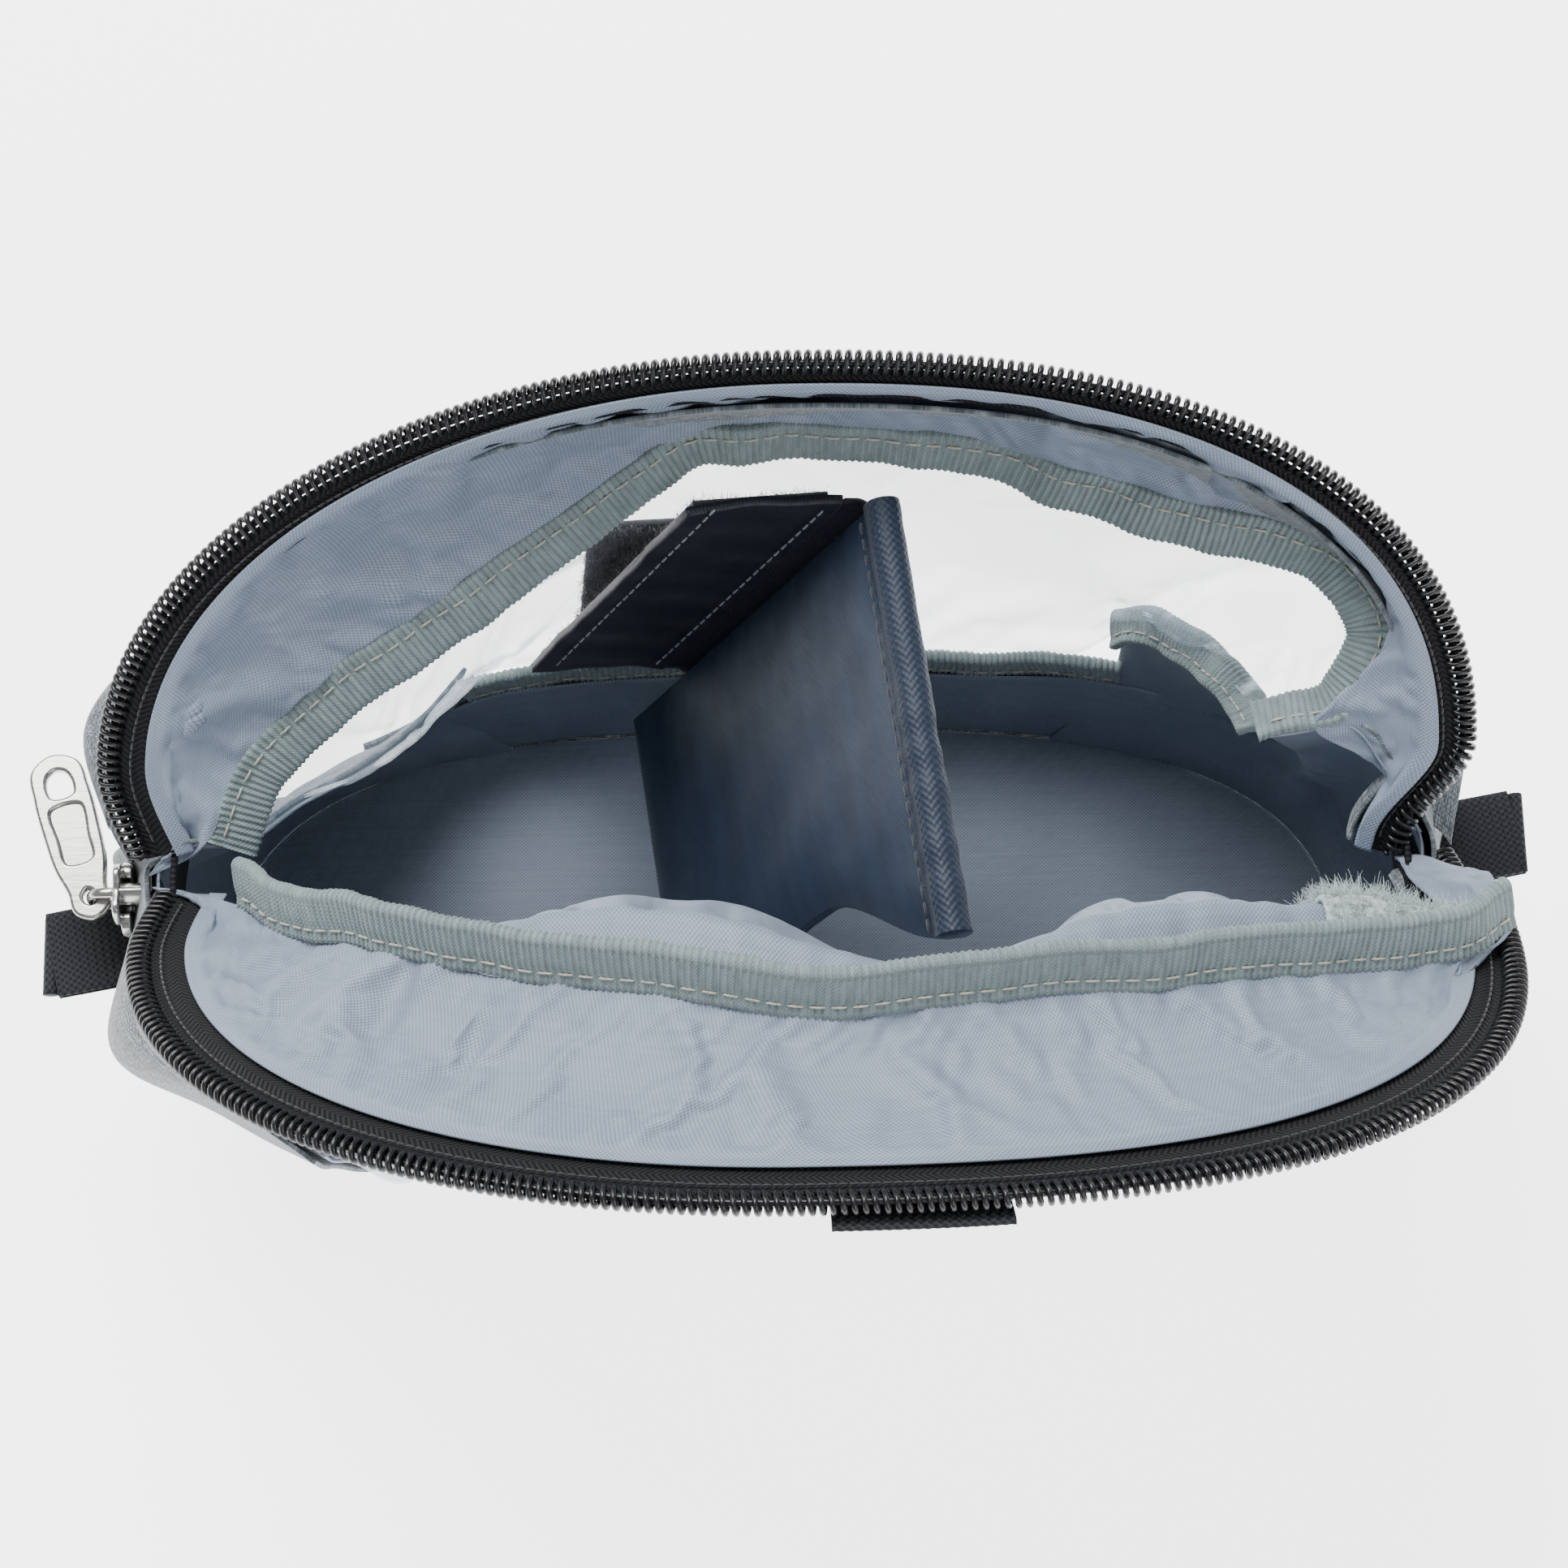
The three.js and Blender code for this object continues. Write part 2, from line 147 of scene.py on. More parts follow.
def grid_normals(points):
    along = np.gradient(points, axis=1)
    down = np.gradient(points, axis=0)
    return unit(np.cross(along, down))


def grid_lengths(points):
    """Flat u and v of a grid in millimetres, from the mean spacing of its columns and rows."""
    across = np.linalg.norm(np.diff(points, axis=1), axis=2).mean(0)
    down = np.linalg.norm(np.diff(points, axis=0), axis=2).mean(1)
    u = np.concatenate([[0], np.cumsum(across)])
    v = np.concatenate([[0], np.cumsum(down)])
    return np.meshgrid(u, v)


def grid_faces(rows, columns, start=0, wrap=False):
    """Quads between the rows and columns of a grid whose rows may close on themselves."""
    last = columns if wrap else columns - 1
    j, i = np.meshgrid(np.arange(rows - 1), np.arange(last), indexing="ij")
    following = (i + 1) % columns
    quads = [j * columns + i, j * columns + following, (j + 1) * columns + following, (j + 1) * columns + i]
    return np.stack(quads, axis=-1).reshape(-1, 4) + start


def signed_volume(points, faces):
    a, b, c, d = (points[faces[:, k]] for k in range(4))
    return (np.einsum("ij,ij->i", a, np.cross(b, c)) + np.einsum("ij,ij->i", a, np.cross(c, d))).sum()


def make_mesh(name, points, faces, material, uv=None, outward=True):
    """A shaded object from points in millimetres and quads. uv holds flat millimetres for the weave."""
    points, faces = np.asarray(points, float), np.asarray(faces, int)
    if outward and signed_volume(points - points.mean(0), faces) < 0:
        faces = faces[:, ::-1]
    mesh = bpy.data.meshes.new(name)
    mesh.vertices.add(len(points))
    mesh.vertices.foreach_set("co", (points * MM).astype(np.float32).ravel())
    mesh.loops.add(faces.size)
    mesh.loops.foreach_set("vertex_index", faces.ravel().astype(np.int32))
    mesh.polygons.add(len(faces))
    mesh.polygons.foreach_set("loop_start", np.arange(0, faces.size, 4, dtype=np.int32))
    mesh.polygons.foreach_set("use_smooth", np.ones(len(faces), bool))
    mesh.update(calc_edges=True)
    layer = mesh.uv_layers.new(name="cloth")
    flat = points[:, :2] if uv is None else np.asarray(uv, float)
    layer.data.foreach_set("uv", flat[faces.ravel()].astype(np.float32).ravel())
    mesh.validate()
    mesh.materials.append(material)
    made = bpy.data.objects.new(name, mesh)
    bpy.context.scene.collection.objects.link(made)
    return made


def skin_parts(points, thickness):
    """A closed skin around a grid of points: vertices, quads and flat lengths."""
    rows, columns = points.shape[:2]
    lift = grid_normals(points) * thickness / 2
    vertices = np.concatenate([(points + lift).reshape(-1, 3), (points - lift).reshape(-1, 3)])
    u, v = grid_lengths(points)
    uv = np.tile(np.stack([u.ravel(), v.ravel()], axis=1), (2, 1))
    face = grid_faces(rows, columns)
    border = np.concatenate([
        np.arange(columns), np.arange(1, rows) * columns + columns - 1,
        (rows - 1) * columns + np.arange(columns - 2, -1, -1), np.arange(rows - 2, 0, -1) * columns,
    ])
    following = np.roll(border, -1)
    count = rows * columns
    rim = np.stack([following, border, border + count, following + count], axis=1)
    return vertices, np.concatenate([face, face[:, ::-1] + count, rim]), uv


def skin(name, points, thickness, material):
    vertices, faces, uv = skin_parts(points, thickness)
    return make_mesh(name, vertices, faces, material, uv)


def joined(parts):
    """Several (vertices, quads, uv) parts as one."""
    vertices, faces, uv, count = [], [], [], 0
    for part in parts:
        vertices.append(part[0])
        faces.append(part[1] + count)
        uv.append(part[2])
        count += len(part[0])
    return np.concatenate(vertices), np.concatenate(faces), np.concatenate(uv)


def loft_parts(rings):
    """A closed tube through rings of points, with its ends drawn together."""
    rings = np.asarray(rings, float)
    count, around = rings.shape[:2]
    caps = [rings[0].mean(0)[None].repeat(around, 0), rings[-1].mean(0)[None].repeat(around, 0)]
    points = np.concatenate([mix(rings[0], caps[0], 0.98)[None], rings, mix(rings[-1], caps[1], 0.98)[None]])
    along = np.concatenate([[0], np.cumsum(np.linalg.norm(np.diff(rings.mean(1), axis=0), axis=1))])
    along = np.concatenate([[along[0]], along, [along[-1]]])
    girth = np.linalg.norm(np.diff(rings[count // 2], axis=0), axis=1)
    girth = np.concatenate([[0], np.cumsum(girth)])
    uv = np.stack(np.meshgrid(along, girth, indexing="ij"), axis=-1).reshape(-1, 2)
    faces = grid_faces(count + 2, around, wrap=True)
    half = around // 2
    ends = []
    for row in (0, count + 1):
        ring = row * around + np.arange(around)
        for k in range(half - 1):
            quad = [ring[k], ring[k + 1], ring[around - 2 - k], ring[around - 1 - k]]
            ends.append(quad[::-1] if row == 0 else quad)
    return points.reshape(-1, 3), np.concatenate([faces, np.array(ends)]), uv


def tangents(line):
    return unit(np.gradient(line, axis=0))


def tube_parts(line, radius, side, around=6):
    """A round tube along a line; side is a direction that is never along it."""
    line = np.asarray(line, float)
    ahead = tangents(line)
    across = unit(np.cross(ahead, side))
    up = np.cross(across, ahead)
    turn = 2 * math.pi * np.arange(around) / around
    ring = np.cos(turn)[None, :, None] * across[:, None] + np.sin(turn)[None, :, None] * up[:, None]
    thick = np.broadcast_to(np.asarray(radius, float), len(line))
    return loft_parts(line[:, None] + ring * thick[:, None, None])


def capsule_parts(starts, ends, radius, bulge=0.35, side=(0, 0, 1)):
    """Short rounded threads from each start to each end."""
    shares = np.array([0, 0.12, 0.5, 0.88, 1])
    widths = np.array([0.35, 0.9, 1, 0.9, 0.35]) * radius
    around = 6
    turn = 2 * math.pi * np.arange(around) / around
    ahead = unit(ends - starts)
    across = unit(np.cross(ahead, np.broadcast_to(side, ahead.shape)))
    up = np.cross(across, ahead)
    rings = (np.cos(turn)[None, :, None] * across[:, None] + np.sin(turn)[None, :, None] * up[:, None])
    centre = starts[:, None] + (ends - starts)[:, None] * shares[None, :, None]
    centre = centre + up[:, None] * (np.sin(np.pi * shares) * bulge * radius)[None, :, None]
    points = centre[:, :, None] + rings[:, None] * widths[None, :, None, None]
    base = grid_faces(len(shares), around, wrap=True)
    caps = []
    for row in (0, len(shares) - 1):
        ring = row * around + np.arange(around)
        for k in range(around // 2 - 1):
            quad = [ring[k], ring[k + 1], ring[around - 2 - k], ring[around - 1 - k]]
            caps.append(quad[::-1] if row == 0 else quad)
    base = np.concatenate([base, np.array(caps)])
    size = len(shares) * around
    faces = (base[None] + (np.arange(len(starts)) * size)[:, None, None]).reshape(-1, 4)
    points = points.reshape(-1, 3)
    return points, faces, np.zeros((len(points), 2))


def resample(line, step):
    """Points along a line about step apart, and their distances from its start."""
    far = np.concatenate([[0], np.cumsum(np.linalg.norm(np.diff(line, axis=0), axis=1))])
    at = np.linspace(0, far[-1], max(2, int(round(far[-1] / step)) + 1))
    return np.stack([np.interp(at, far, line[:, k]) for k in range(3)], axis=1), at


# ---------------------------------------------------------------- cloth simulation

def drape(points, pinned, grow, frames=26, gravity=0.3, stiffness=4, bending=0.4, push=0.0):
    """Lets a grid of cloth that was cut larger than its frame buckle between its pinned points.

    pinned is 1 where the cloth is sewn down. Returns the grid's points after the simulation.
    """
    rows, columns = points.shape[:2]
    faces = grid_faces(rows, columns)
    mesh = bpy.data.meshes.new("drape")
    mesh.from_pydata((points.reshape(-1, 3) * MM).tolist(), [], faces.tolist())
    cloth = bpy.data.objects.new("drape", mesh)
    bpy.context.scene.collection.objects.link(cloth)
    group = cloth.vertex_groups.new(name="sewn")
    for index in np.flatnonzero(pinned.ravel() > 0):
        group.add([int(index)], float(pinned.ravel()[index]), "REPLACE")
    modifier = cloth.modifiers.new("Cloth", "CLOTH")
    settings = modifier.settings
    settings.vertex_group_mass = "sewn"
    settings.quality = 8
    settings.mass = 0.15
    settings.shrink_min = -grow
    settings.tension_stiffness = settings.compression_stiffness = stiffness * 4
    settings.shear_stiffness = stiffness
    settings.bending_stiffness = bending
    settings.tension_damping = settings.compression_damping = settings.shear_damping = 5
    settings.air_damping = 5
    if push:
        settings.use_pressure = True
        settings.uniform_pressure_force = push
    settings.effector_weights.gravity = gravity
    modifier.collision_settings.use_collision = False
    modifier.point_cache.frame_start = 1
    modifier.point_cache.frame_end = frames
    scene = bpy.context.scene
    for step in range(1, frames + 1):
        scene.frame_set(step)
    shown = cloth.evaluated_get(bpy.context.evaluated_depsgraph_get())
    moved = np.zeros(rows * columns * 3, np.float32)
    shown.data.vertices.foreach_get("co", moved)
    scene.frame_set(1)
    bpy.data.objects.remove(cloth)
    bpy.data.meshes.remove(mesh)
    return moved.reshape(points.shape).astype(float) / MM


def refine(points, rows, columns):
    """A grid with more rows and columns, on a smooth surface through the first one's points."""
    def along_rows(grid, count):
        old = np.linspace(0, 1, grid.shape[0])
        new = np.linspace(0, 1, count)
        slope = np.gradient(grid, old, axis=0)
        i = np.clip(np.searchsorted(old, new, side="right") - 1, 0, len(old) - 2)
        h = (old[i + 1] - old[i])[:, None, None]
        f = ((new - old[i]) / (old[i + 1] - old[i]))[:, None, None]
        return ((1 + 2 * f) * (1 - f) ** 2 * grid[i] + f * (1 - f) ** 2 * h * slope[i]
                + f * f * (3 - 2 * f) * grid[i + 1] + f * f * (f - 1) * h * slope[i + 1])
    fine = along_rows(points, rows)
    return along_rows(fine.transpose(1, 0, 2), columns).transpose(1, 0, 2)


# ---------------------------------------------------------------- materials

class Shader:
    """A node material: each method adds one node and returns its output."""

    def __init__(self, name, colour, roughness, **fixed):
        self.material = bpy.data.materials.new(name)
        self.material.use_nodes = True
        self.tree = self.material.node_tree
        self.bsdf = self.tree.nodes["Principled BSDF"]
        self.bsdf.inputs["Base Color"].default_value = (*colour, 1)
        self.bsdf.inputs["Roughness"].default_value = roughness
        for name_of_input, value in fixed.items():
            self.bsdf.inputs[name_of_input.replace("_", " ")].default_value = value

    def add(self, kind, **settings):
        made = self.tree.nodes.new(kind)
        for key, value in settings.items():
            setattr(made, key, value)
        return made

    def link(self, output, target):
        self.tree.links.new(output, target)

    def feed(self, node, values):
        for key, value in values.items():
            if hasattr(value, "is_output"):
                self.link(value, node.inputs[key])
            else:
                node.inputs[key].default_value = value

    def math(self, operation, first, second=0.0):
        made = self.add("ShaderNodeMath", operation=operation)
        self.feed(made, {0: first, 1: second})
        return made.outputs[0]

    def flat(self):
        """The cloth's own u and v, in millimetres."""
        place = self.add("ShaderNodeUVMap", uv_map="cloth")
        parts = self.add("ShaderNodeSeparateXYZ")
        self.link(place.outputs[0], parts.inputs[0])
        return parts.outputs[0], parts.outputs[1]

    def wave(self, value, pitch, phase=0.0):
        """A sine of about that pitch, from -1 to 1."""
        turned = self.math("MULTIPLY_ADD", value, 2 * math.pi / pitch)
        turned.node.inputs[2].default_value = phase
        return self.math("SINE", turned)

    def noise(self, scale, detail=3.0, stretch=(1, 1, 1), uv=False):
        """Noise over the object in units of its metres, or over the flat cloth in millimetres."""
        if uv:
            source = self.add("ShaderNodeUVMap", uv_map="cloth").outputs[0]
        else:
            source = self.add("ShaderNodeTexCoord").outputs["Object"]
        mapping = self.add("ShaderNodeMapping")
        self.feed(mapping, {"Vector": source, "Scale": stretch})
        made = self.add("ShaderNodeTexNoise")
        self.feed(made, {"Vector": mapping.outputs[0], "Scale": scale, "Detail": detail})
        return made.outputs["Fac"]

    def ramp(self, value, *stops):
        made = self.add("ShaderNodeValToRGB")
        self.link(value, made.inputs[0])
        elements = made.color_ramp.elements
        while len(elements) < len(stops):
            elements.new(0.5)
        for element, (place, colour) in zip(elements, stops):
            element.position = place
            element.color = (*colour, 1)
        return made.outputs[0]

    def blend(self, factor, first, second, mode="MIX"):
        made = self.add("ShaderNodeMix", data_type="RGBA", blend_type=mode)
        for index, value in ((0, factor), (6, first), (7, second)):
            if hasattr(value, "is_output"):
                self.link(value, made.inputs[index])
            else:
                made.inputs[index].default_value = value if index == 0 else (*value, 1)
        return made.outputs[2]

    def colour(self, output):
        self.link(output, self.bsdf.inputs["Base Color"])

    def rough(self, value, low, high):
        made = self.add("ShaderNodeMapRange")
        self.feed(made, {0: value, 3: low, 4: high})
        self.link(made.outputs[0], self.bsdf.inputs["Roughness"])

    def bump(self, height, strength, distance):
        made = self.add("ShaderNodeBump")
        self.feed(made, {"Height": height, "Strength": strength, "Distance": distance * MM})
        if self.bsdf.inputs["Normal"].is_linked:
            self.link(self.bsdf.inputs["Normal"].links[0].from_socket, made.inputs["Normal"])
        self.link(made.outputs[0], self.bsdf.inputs["Normal"])


def shade(colour, factor):
    return tuple(min(1.0, c * factor) for c in colour)


def dot_weave(name, colour, pitch, roughness, contrast=0.34, sheen=0.12, depth=0.12):
    """Plain weave that reads as rows of small dots."""
    s = Shader(name, colour, roughness, Sheen_Weight=sheen, Sheen_Roughness=0.35, Specular_IOR_Level=0.45)
    u, v = s.flat()
    dots = s.math("MULTIPLY", s.wave(u, pitch), s.wave(v, pitch))
    level = s.math("MULTIPLY_ADD", dots, 0.5)
    level.node.inputs[2].default_value = 0.5
    woven = s.ramp(level, (0.15, shade(colour, 1 - contrast)), (0.8, shade(colour, 1 + contrast * 0.55)))
    cloudy = s.noise(60, 4)
    tone = s.ramp(cloudy, (0.3, (0.86, 0.87, 0.9)), (0.7, (1.0, 1.0, 1.0)))
    threads = s.noise(1.0, 2, stretch=(0.05, 1.6, 1), uv=True)
    streak = s.ramp(threads, (0.35, (0.92, 0.92, 0.93)), (0.65, (1, 1, 1)))
    s.colour(s.blend(1.0, s.blend(1.0, woven, tone, "MULTIPLY"), streak, "MULTIPLY"))
    s.rough(cloudy, roughness - 0.06, roughness + 0.1)
    s.bump(level, 0.5, depth)
    s.bump(s.noise(220, 3), 0.15, 0.4)
    return s.material


def heather(name):
    s = Shader(name, (0.2, 0.225, 0.245), 0.92, Sheen_Weight=0.3, Sheen_Roughness=0.5)
    u, v = s.flat()
    weft = s.noise(1.0, 3, stretch=(0.35, 3.2, 1), uv=True)
    warp = s.noise(1.0, 3, stretch=(3.4, 0.3, 1), uv=True)
    across = s.ramp(weft, (0.36, (0.07, 0.085, 0.1)), (0.52, (0.15, 0.175, 0.19)), (0.66, (0.31, 0.34, 0.36)))
    along = s.ramp(warp, (0.38, (0.5, 0.52, 0.55)), (0.6, (1.15, 1.15, 1.15)))
    s.colour(s.blend(1.0, across, along, "MULTIPLY"))
    dots = s.math("MULTIPLY", s.wave(u, 1.0), s.wave(v, 1.0))
    s.bump(dots, 0.5, 0.12)
    s.bump(s.noise(300, 3), 0.2, 0.3)
    return s.material


def grosgrain(name, colour, rib=1.05):
    """Ribbed binding. The ribs themselves are in the mesh, and u runs along it."""
    s = Shader(name, colour, 0.78, Sheen_Weight=0.3, Sheen_Roughness=0.4)
    u, v = s.flat()
    thread = s.math("MULTIPLY", s.wave(u, rib / 2), s.wave(v, 0.62))
    tone = s.noise(1.0, 3, stretch=(0.9, 0.25, 1), uv=True)
    base = s.ramp(tone, (0.3, shade(colour, 0.8)), (0.7, shade(colour, 1.15)))
    groove = s.math("MULTIPLY_ADD", s.wave(u, rib), 0.5)
    groove.node.inputs[2].default_value = 0.5
    shadow = s.ramp(groove, (0.0, (0.72, 0.74, 0.76)), (0.55, (1, 1, 1)))
    s.colour(s.blend(1.0, base, shadow, "MULTIPLY"))
    s.bump(thread, 0.55, 0.1)
    s.bump(s.noise(260, 3), 0.2, 0.3)
    return s.material


def herringbone(name):
    s = Shader(name, (0.012, 0.012, 0.014), 0.75, Specular_IOR_Level=0.2)
    u, v = s.flat()
    zigzag = s.math("PINGPONG", v, 1.6)
    slanted = s.math("ADD", u, zigzag)
    twill = s.wave(slanted, 0.95)
    level = s.math("MULTIPLY_ADD", twill, 0.5)
    level.node.inputs[2].default_value = 0.5
    s.colour(s.ramp(level, (0.1, (0.004, 0.004, 0.005)), (0.9, (0.017, 0.017, 0.02))))
    s.rough(s.noise(400, 3), 0.62, 0.82)
    s.bump(level, 0.8, 0.16)
    return s.material


def ribbed_webbing(name):
    s = Shader(name, (0.022, 0.024, 0.028), 0.7, Specular_IOR_Level=0.25)
    u, v = s.flat()
    cell = s.math("MULTIPLY", s.wave(u, 1.3), s.wave(v, 1.1))
    level = s.math("MULTIPLY_ADD", cell, 0.5)
    level.node.inputs[2].default_value = 0.5
    s.colour(s.ramp(level, (0.1, (0.006, 0.007, 0.009)), (0.9, (0.028, 0.03, 0.035))))
    s.bump(level, 0.7, 0.2)
    s.bump(s.noise(500, 3), 0.2, 0.2)
    return s.material


def nylon_twill(name, colour, roughness=0.5):
    s = Shader(name, colour, roughness, Sheen_Weight=0.06, Sheen_Roughness=0.35, Specular_IOR_Level=0.4)
    u, v = s.flat()
    diagonal = s.wave(s.math("ADD", u, v), 0.62)
    steps = s.wave(s.math("SUBTRACT", u, v), 0.5)
    level = s.math("MULTIPLY_ADD", s.math("ADD", diagonal, steps), 0.25)
    level.node.inputs[2].default_value = 0.5
    woven = s.ramp(level, (0.1, shade(colour, 0.6)), (0.9, shade(colour, 1.5)))
    # Long lighter and darker streaks along the cloth, multiplied into its colour: painted reflections of its sheen.
    tone = s.ramp(s.noise(1.0, 3, stretch=(0.02, 0.22, 1), uv=True), (0.3, (0.72, 0.74, 0.78)), (0.7, (1.15, 1.15, 1.15)))
    s.colour(s.blend(1.0, woven, tone, "MULTIPLY"))
    s.rough(s.noise(180, 3), roughness - 0.08, roughness + 0.1)
    s.bump(level, 0.5, 0.1)
    return s.material


def glossy_nylon(name):
    s = Shader(name, (0.006, 0.006, 0.007), 0.28, Specular_IOR_Level=0.45)
    worn = s.noise(900, 3)
    s.colour(s.ramp(worn, (0.35, (0.004, 0.004, 0.005)), (0.7, (0.012, 0.012, 0.014))))
    s.rough(worn, 0.2, 0.42)
    s.bump(s.noise(1500, 2), 0.15, 0.05)
    return s.material


def clear_film(name):
    """Soft clear sheet: see-through face on, and shiny where it turns away."""
    s = Shader(name, (0.86, 0.92, 0.97), 0.06, Specular_IOR_Level=0.9, IOR=1.5)
    edge = s.add("ShaderNodeLayerWeight")
    edge.inputs["Blend"].default_value = 0.42
    painted_reflection_patches = s.noise(35, 3)
    facing = s.add("ShaderNodeMapRange")
    s.feed(facing, {0: edge.outputs["Facing"], 3: 0.06, 4: 0.4})
    s.link(facing.outputs[0], s.bsdf.inputs["Alpha"])
    # The film's bluish colour, in patches from blue-grey to near white, is painted reflection.
    s.colour(s.ramp(painted_reflection_patches, (0.35, (0.55, 0.7, 0.84)), (0.65, (0.85, 0.93, 1.0))))
    s.rough(s.noise(120, 3), 0.02, 0.1)
    s.bump(s.noise(90, 4), 0.25, 0.6)
    return s.material


def brushed_nickel(name):
    s = Shader(name, (0.42, 0.41, 0.39), 0.26, Metallic=1.0)
    scratches = s.noise(240, 4, stretch=(1, 12, 12))
    s.colour(s.ramp(scratches, (0.3, (0.33, 0.325, 0.31)), (0.7, (0.5, 0.49, 0.47))))
    s.rough(scratches, 0.14, 0.34)
    s.bump(scratches, 0.12, 0.05)
    return s.material


def fuzzy(name, colour):
    s = Shader(name, colour, 0.95, Sheen_Weight=0.6, Sheen_Roughness=0.6)
    s.colour(s.ramp(s.noise(900, 3), (0.3, shade(colour, 0.65)), (0.7, shade(colour, 1.4))))
    s.bump(s.noise(1400, 3), 0.5, 0.3)
    return s.material


def thread(name, colour):
    s = Shader(name, colour, 0.7, Sheen_Weight=0.3)
    s.colour(s.ramp(s.noise(1600, 2), (0.3, shade(colour, 0.75)), (0.7, shade(colour, 1.2))))
    s.bump(s.noise(3000, 2), 0.3, 0.05)
    return s.material


LINING = dot_weave("oxford_lining", (0.26, 0.315, 0.395), 0.62, 0.5)
# The same lining, darker, for the base, lower walls and end panels inside the bag: painted shade.
PAINTED_SHADE_LINING = dot_weave("oxford_lining_painted_shade", (0.23, 0.27, 0.33), 0.62, 0.55)
HEATHER = heather("heather_shell")
BINDING = grosgrain("grosgrain_binding", (0.225, 0.285, 0.285))
TAPE = herringbone("zip_tape_weave")
COIL = glossy_nylon("coil_nylon")
WEBBING = ribbed_webbing("ribbed_webbing")
NAVY = nylon_twill("navy_nylon", (0.009, 0.021, 0.046), 0.46)
# The divider's navy nylon, darker, for the flap and its fold: painted shade.
PAINTED_SHADE_NAVY = nylon_twill("flap_nylon_painted_shade", (0.0045, 0.007, 0.014))
NAVY_TAPE = dot_weave("navy_band", (0.009, 0.02, 0.043), 1.25, 0.55, contrast=0.4, sheen=0.08, depth=0.22)
FILM = clear_film("window_film")
NICKEL = brushed_nickel("brushed_nickel")
HOOK = fuzzy("hook_tape", (0.014, 0.016, 0.02))
LOOP = fuzzy("dark_loop_tape", (0.03, 0.035, 0.045))
PALE_LOOP = fuzzy("pale_loop_tape", (0.4, 0.47, 0.47))
BEIGE_THREAD = thread("beige_thread", (0.42, 0.39, 0.33))
DARK_THREAD = thread("dark_thread", (0.015, 0.015, 0.02))
GREY_THREAD = thread("grey_thread", (0.2, 0.22, 0.24))


# ---------------------------------------------------------------- ways that pieces follow the frame

RIM_REACH = 60  # how far inside the front zip's plane its cloth still follows it
IN = math.sin(OPEN_ANGLE) * RIM_REACH
FRONT_BLEND = ("pouch", "front_rim", (0, IN * MM, (MOUTH_Z + IN) * MM), (0, 0, MOUTH_Z * MM))
REAR_BLEND = ("pouch", "rear_rim", (0, 0, 0.063), (0, 0, 0.087))
POCKET_BLEND = ("pouch", "front_rim", (0, 0, 0.04), (0, 0, 0.18))
WALL_BLEND = ("pouch", "front_rim", (0, 0, 0.034), (0, 0, 0.08))


def follow(piece, motion, slot, *nodes):
    """Ties a piece to a body, or only bakes its transform when it is given a blend across a joint, and hides the parts
    that it stands for. slot is not used.
    """
    if isinstance(motion, str):
        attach(piece, motion)
    else:
        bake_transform(piece)
    if nodes:
        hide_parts(*nodes)
    return piece


def cloth(piece, grid, held, *rests_on):
    """Returns the piece as it is. grid, held and rests_on are not used."""
    return piece


# ---------------------------------------------------------------- zip halves

# Each half is an arch in a plane through the mouth line: half lengths at the left and right, the
# height of the top over the mouth line, and how rounded each shoulder is.
ARCH_CENTRE = 15
ARCHES = {
    1: {"left": 106.5, "right": 105.5, "top": 86, "left_power": 2.0, "right_power": 2.3, "tuck": (0.02, 0.08)},
    -1: {"left": 101, "right": 109.5, "top": 88.5, "left_power": 2.1, "right_power": 2.6, "tuck": (0.01, 0.04)},
}
ARCH_START = -0.17  # turn at which the arch begins and ends, past level


def arch(side, share, inset=0.0, out=0.0):
    """Points of a zip half. inset is towards the mouth line, and out is off the half's plane."""
    shape = ARCHES[side]
    turn = mix(ARCH_START, math.pi - ARCH_START, np.asarray(share, float))
    across, rise = np.cos(turn), np.sin(turn)
    left = across > 0
    half = np.where(left, shape["left"], shape["right"]) - inset
    power = 2 / np.where(left, shape["left_power"], shape["right_power"])
    reach = ARCH_CENTRE + (shape["top"] - ARCH_CENTRE - inset) * np.sign(rise) * np.abs(rise) ** power
    tuck = np.where(left, *shape["tuck"]) * smooth((20 - reach) / 16)
    x = -np.sign(across) * half * np.abs(across) ** power * (1 - tuck)
    y = reach * math.sin(OPEN_ANGLE) + out * math.cos(OPEN_ANGLE)
    z = MOUTH_Z + reach * math.cos(OPEN_ANGLE) - out * math.sin(OPEN_ANGLE)
    return np.stack([x, side * y, z], axis=-1)


def rim_normal(side):
    return np.array([0, side * math.cos(OPEN_ANGLE), -math.sin(OPEN_ANGLE)])


def even_shares(side, step, start=0.0, end=1.0):
    """Shares of the arch that lie about step apart, however it bends."""
    share = np.linspace(start, end, 4000)
    line = arch(side, share)
    far = np.concatenate([[0], np.cumsum(np.linalg.norm(np.diff(line, axis=0), axis=1))])
    return np.interp(np.arange(0, far[-1], step), far, share)


# Where the lining's turned edge lies over the tape: at the left end, the top and the right end.
TAPE_SHOWN = {1: (7.4, 4.2, 5.6), -1: (8.2, 8.4, 6.8)}

COIL_PITCH = 1.5
COIL_STEPS = 14
COIL_WIDTH = 3.2
COIL_HEIGHT = 2.5
WIRE = 0.4


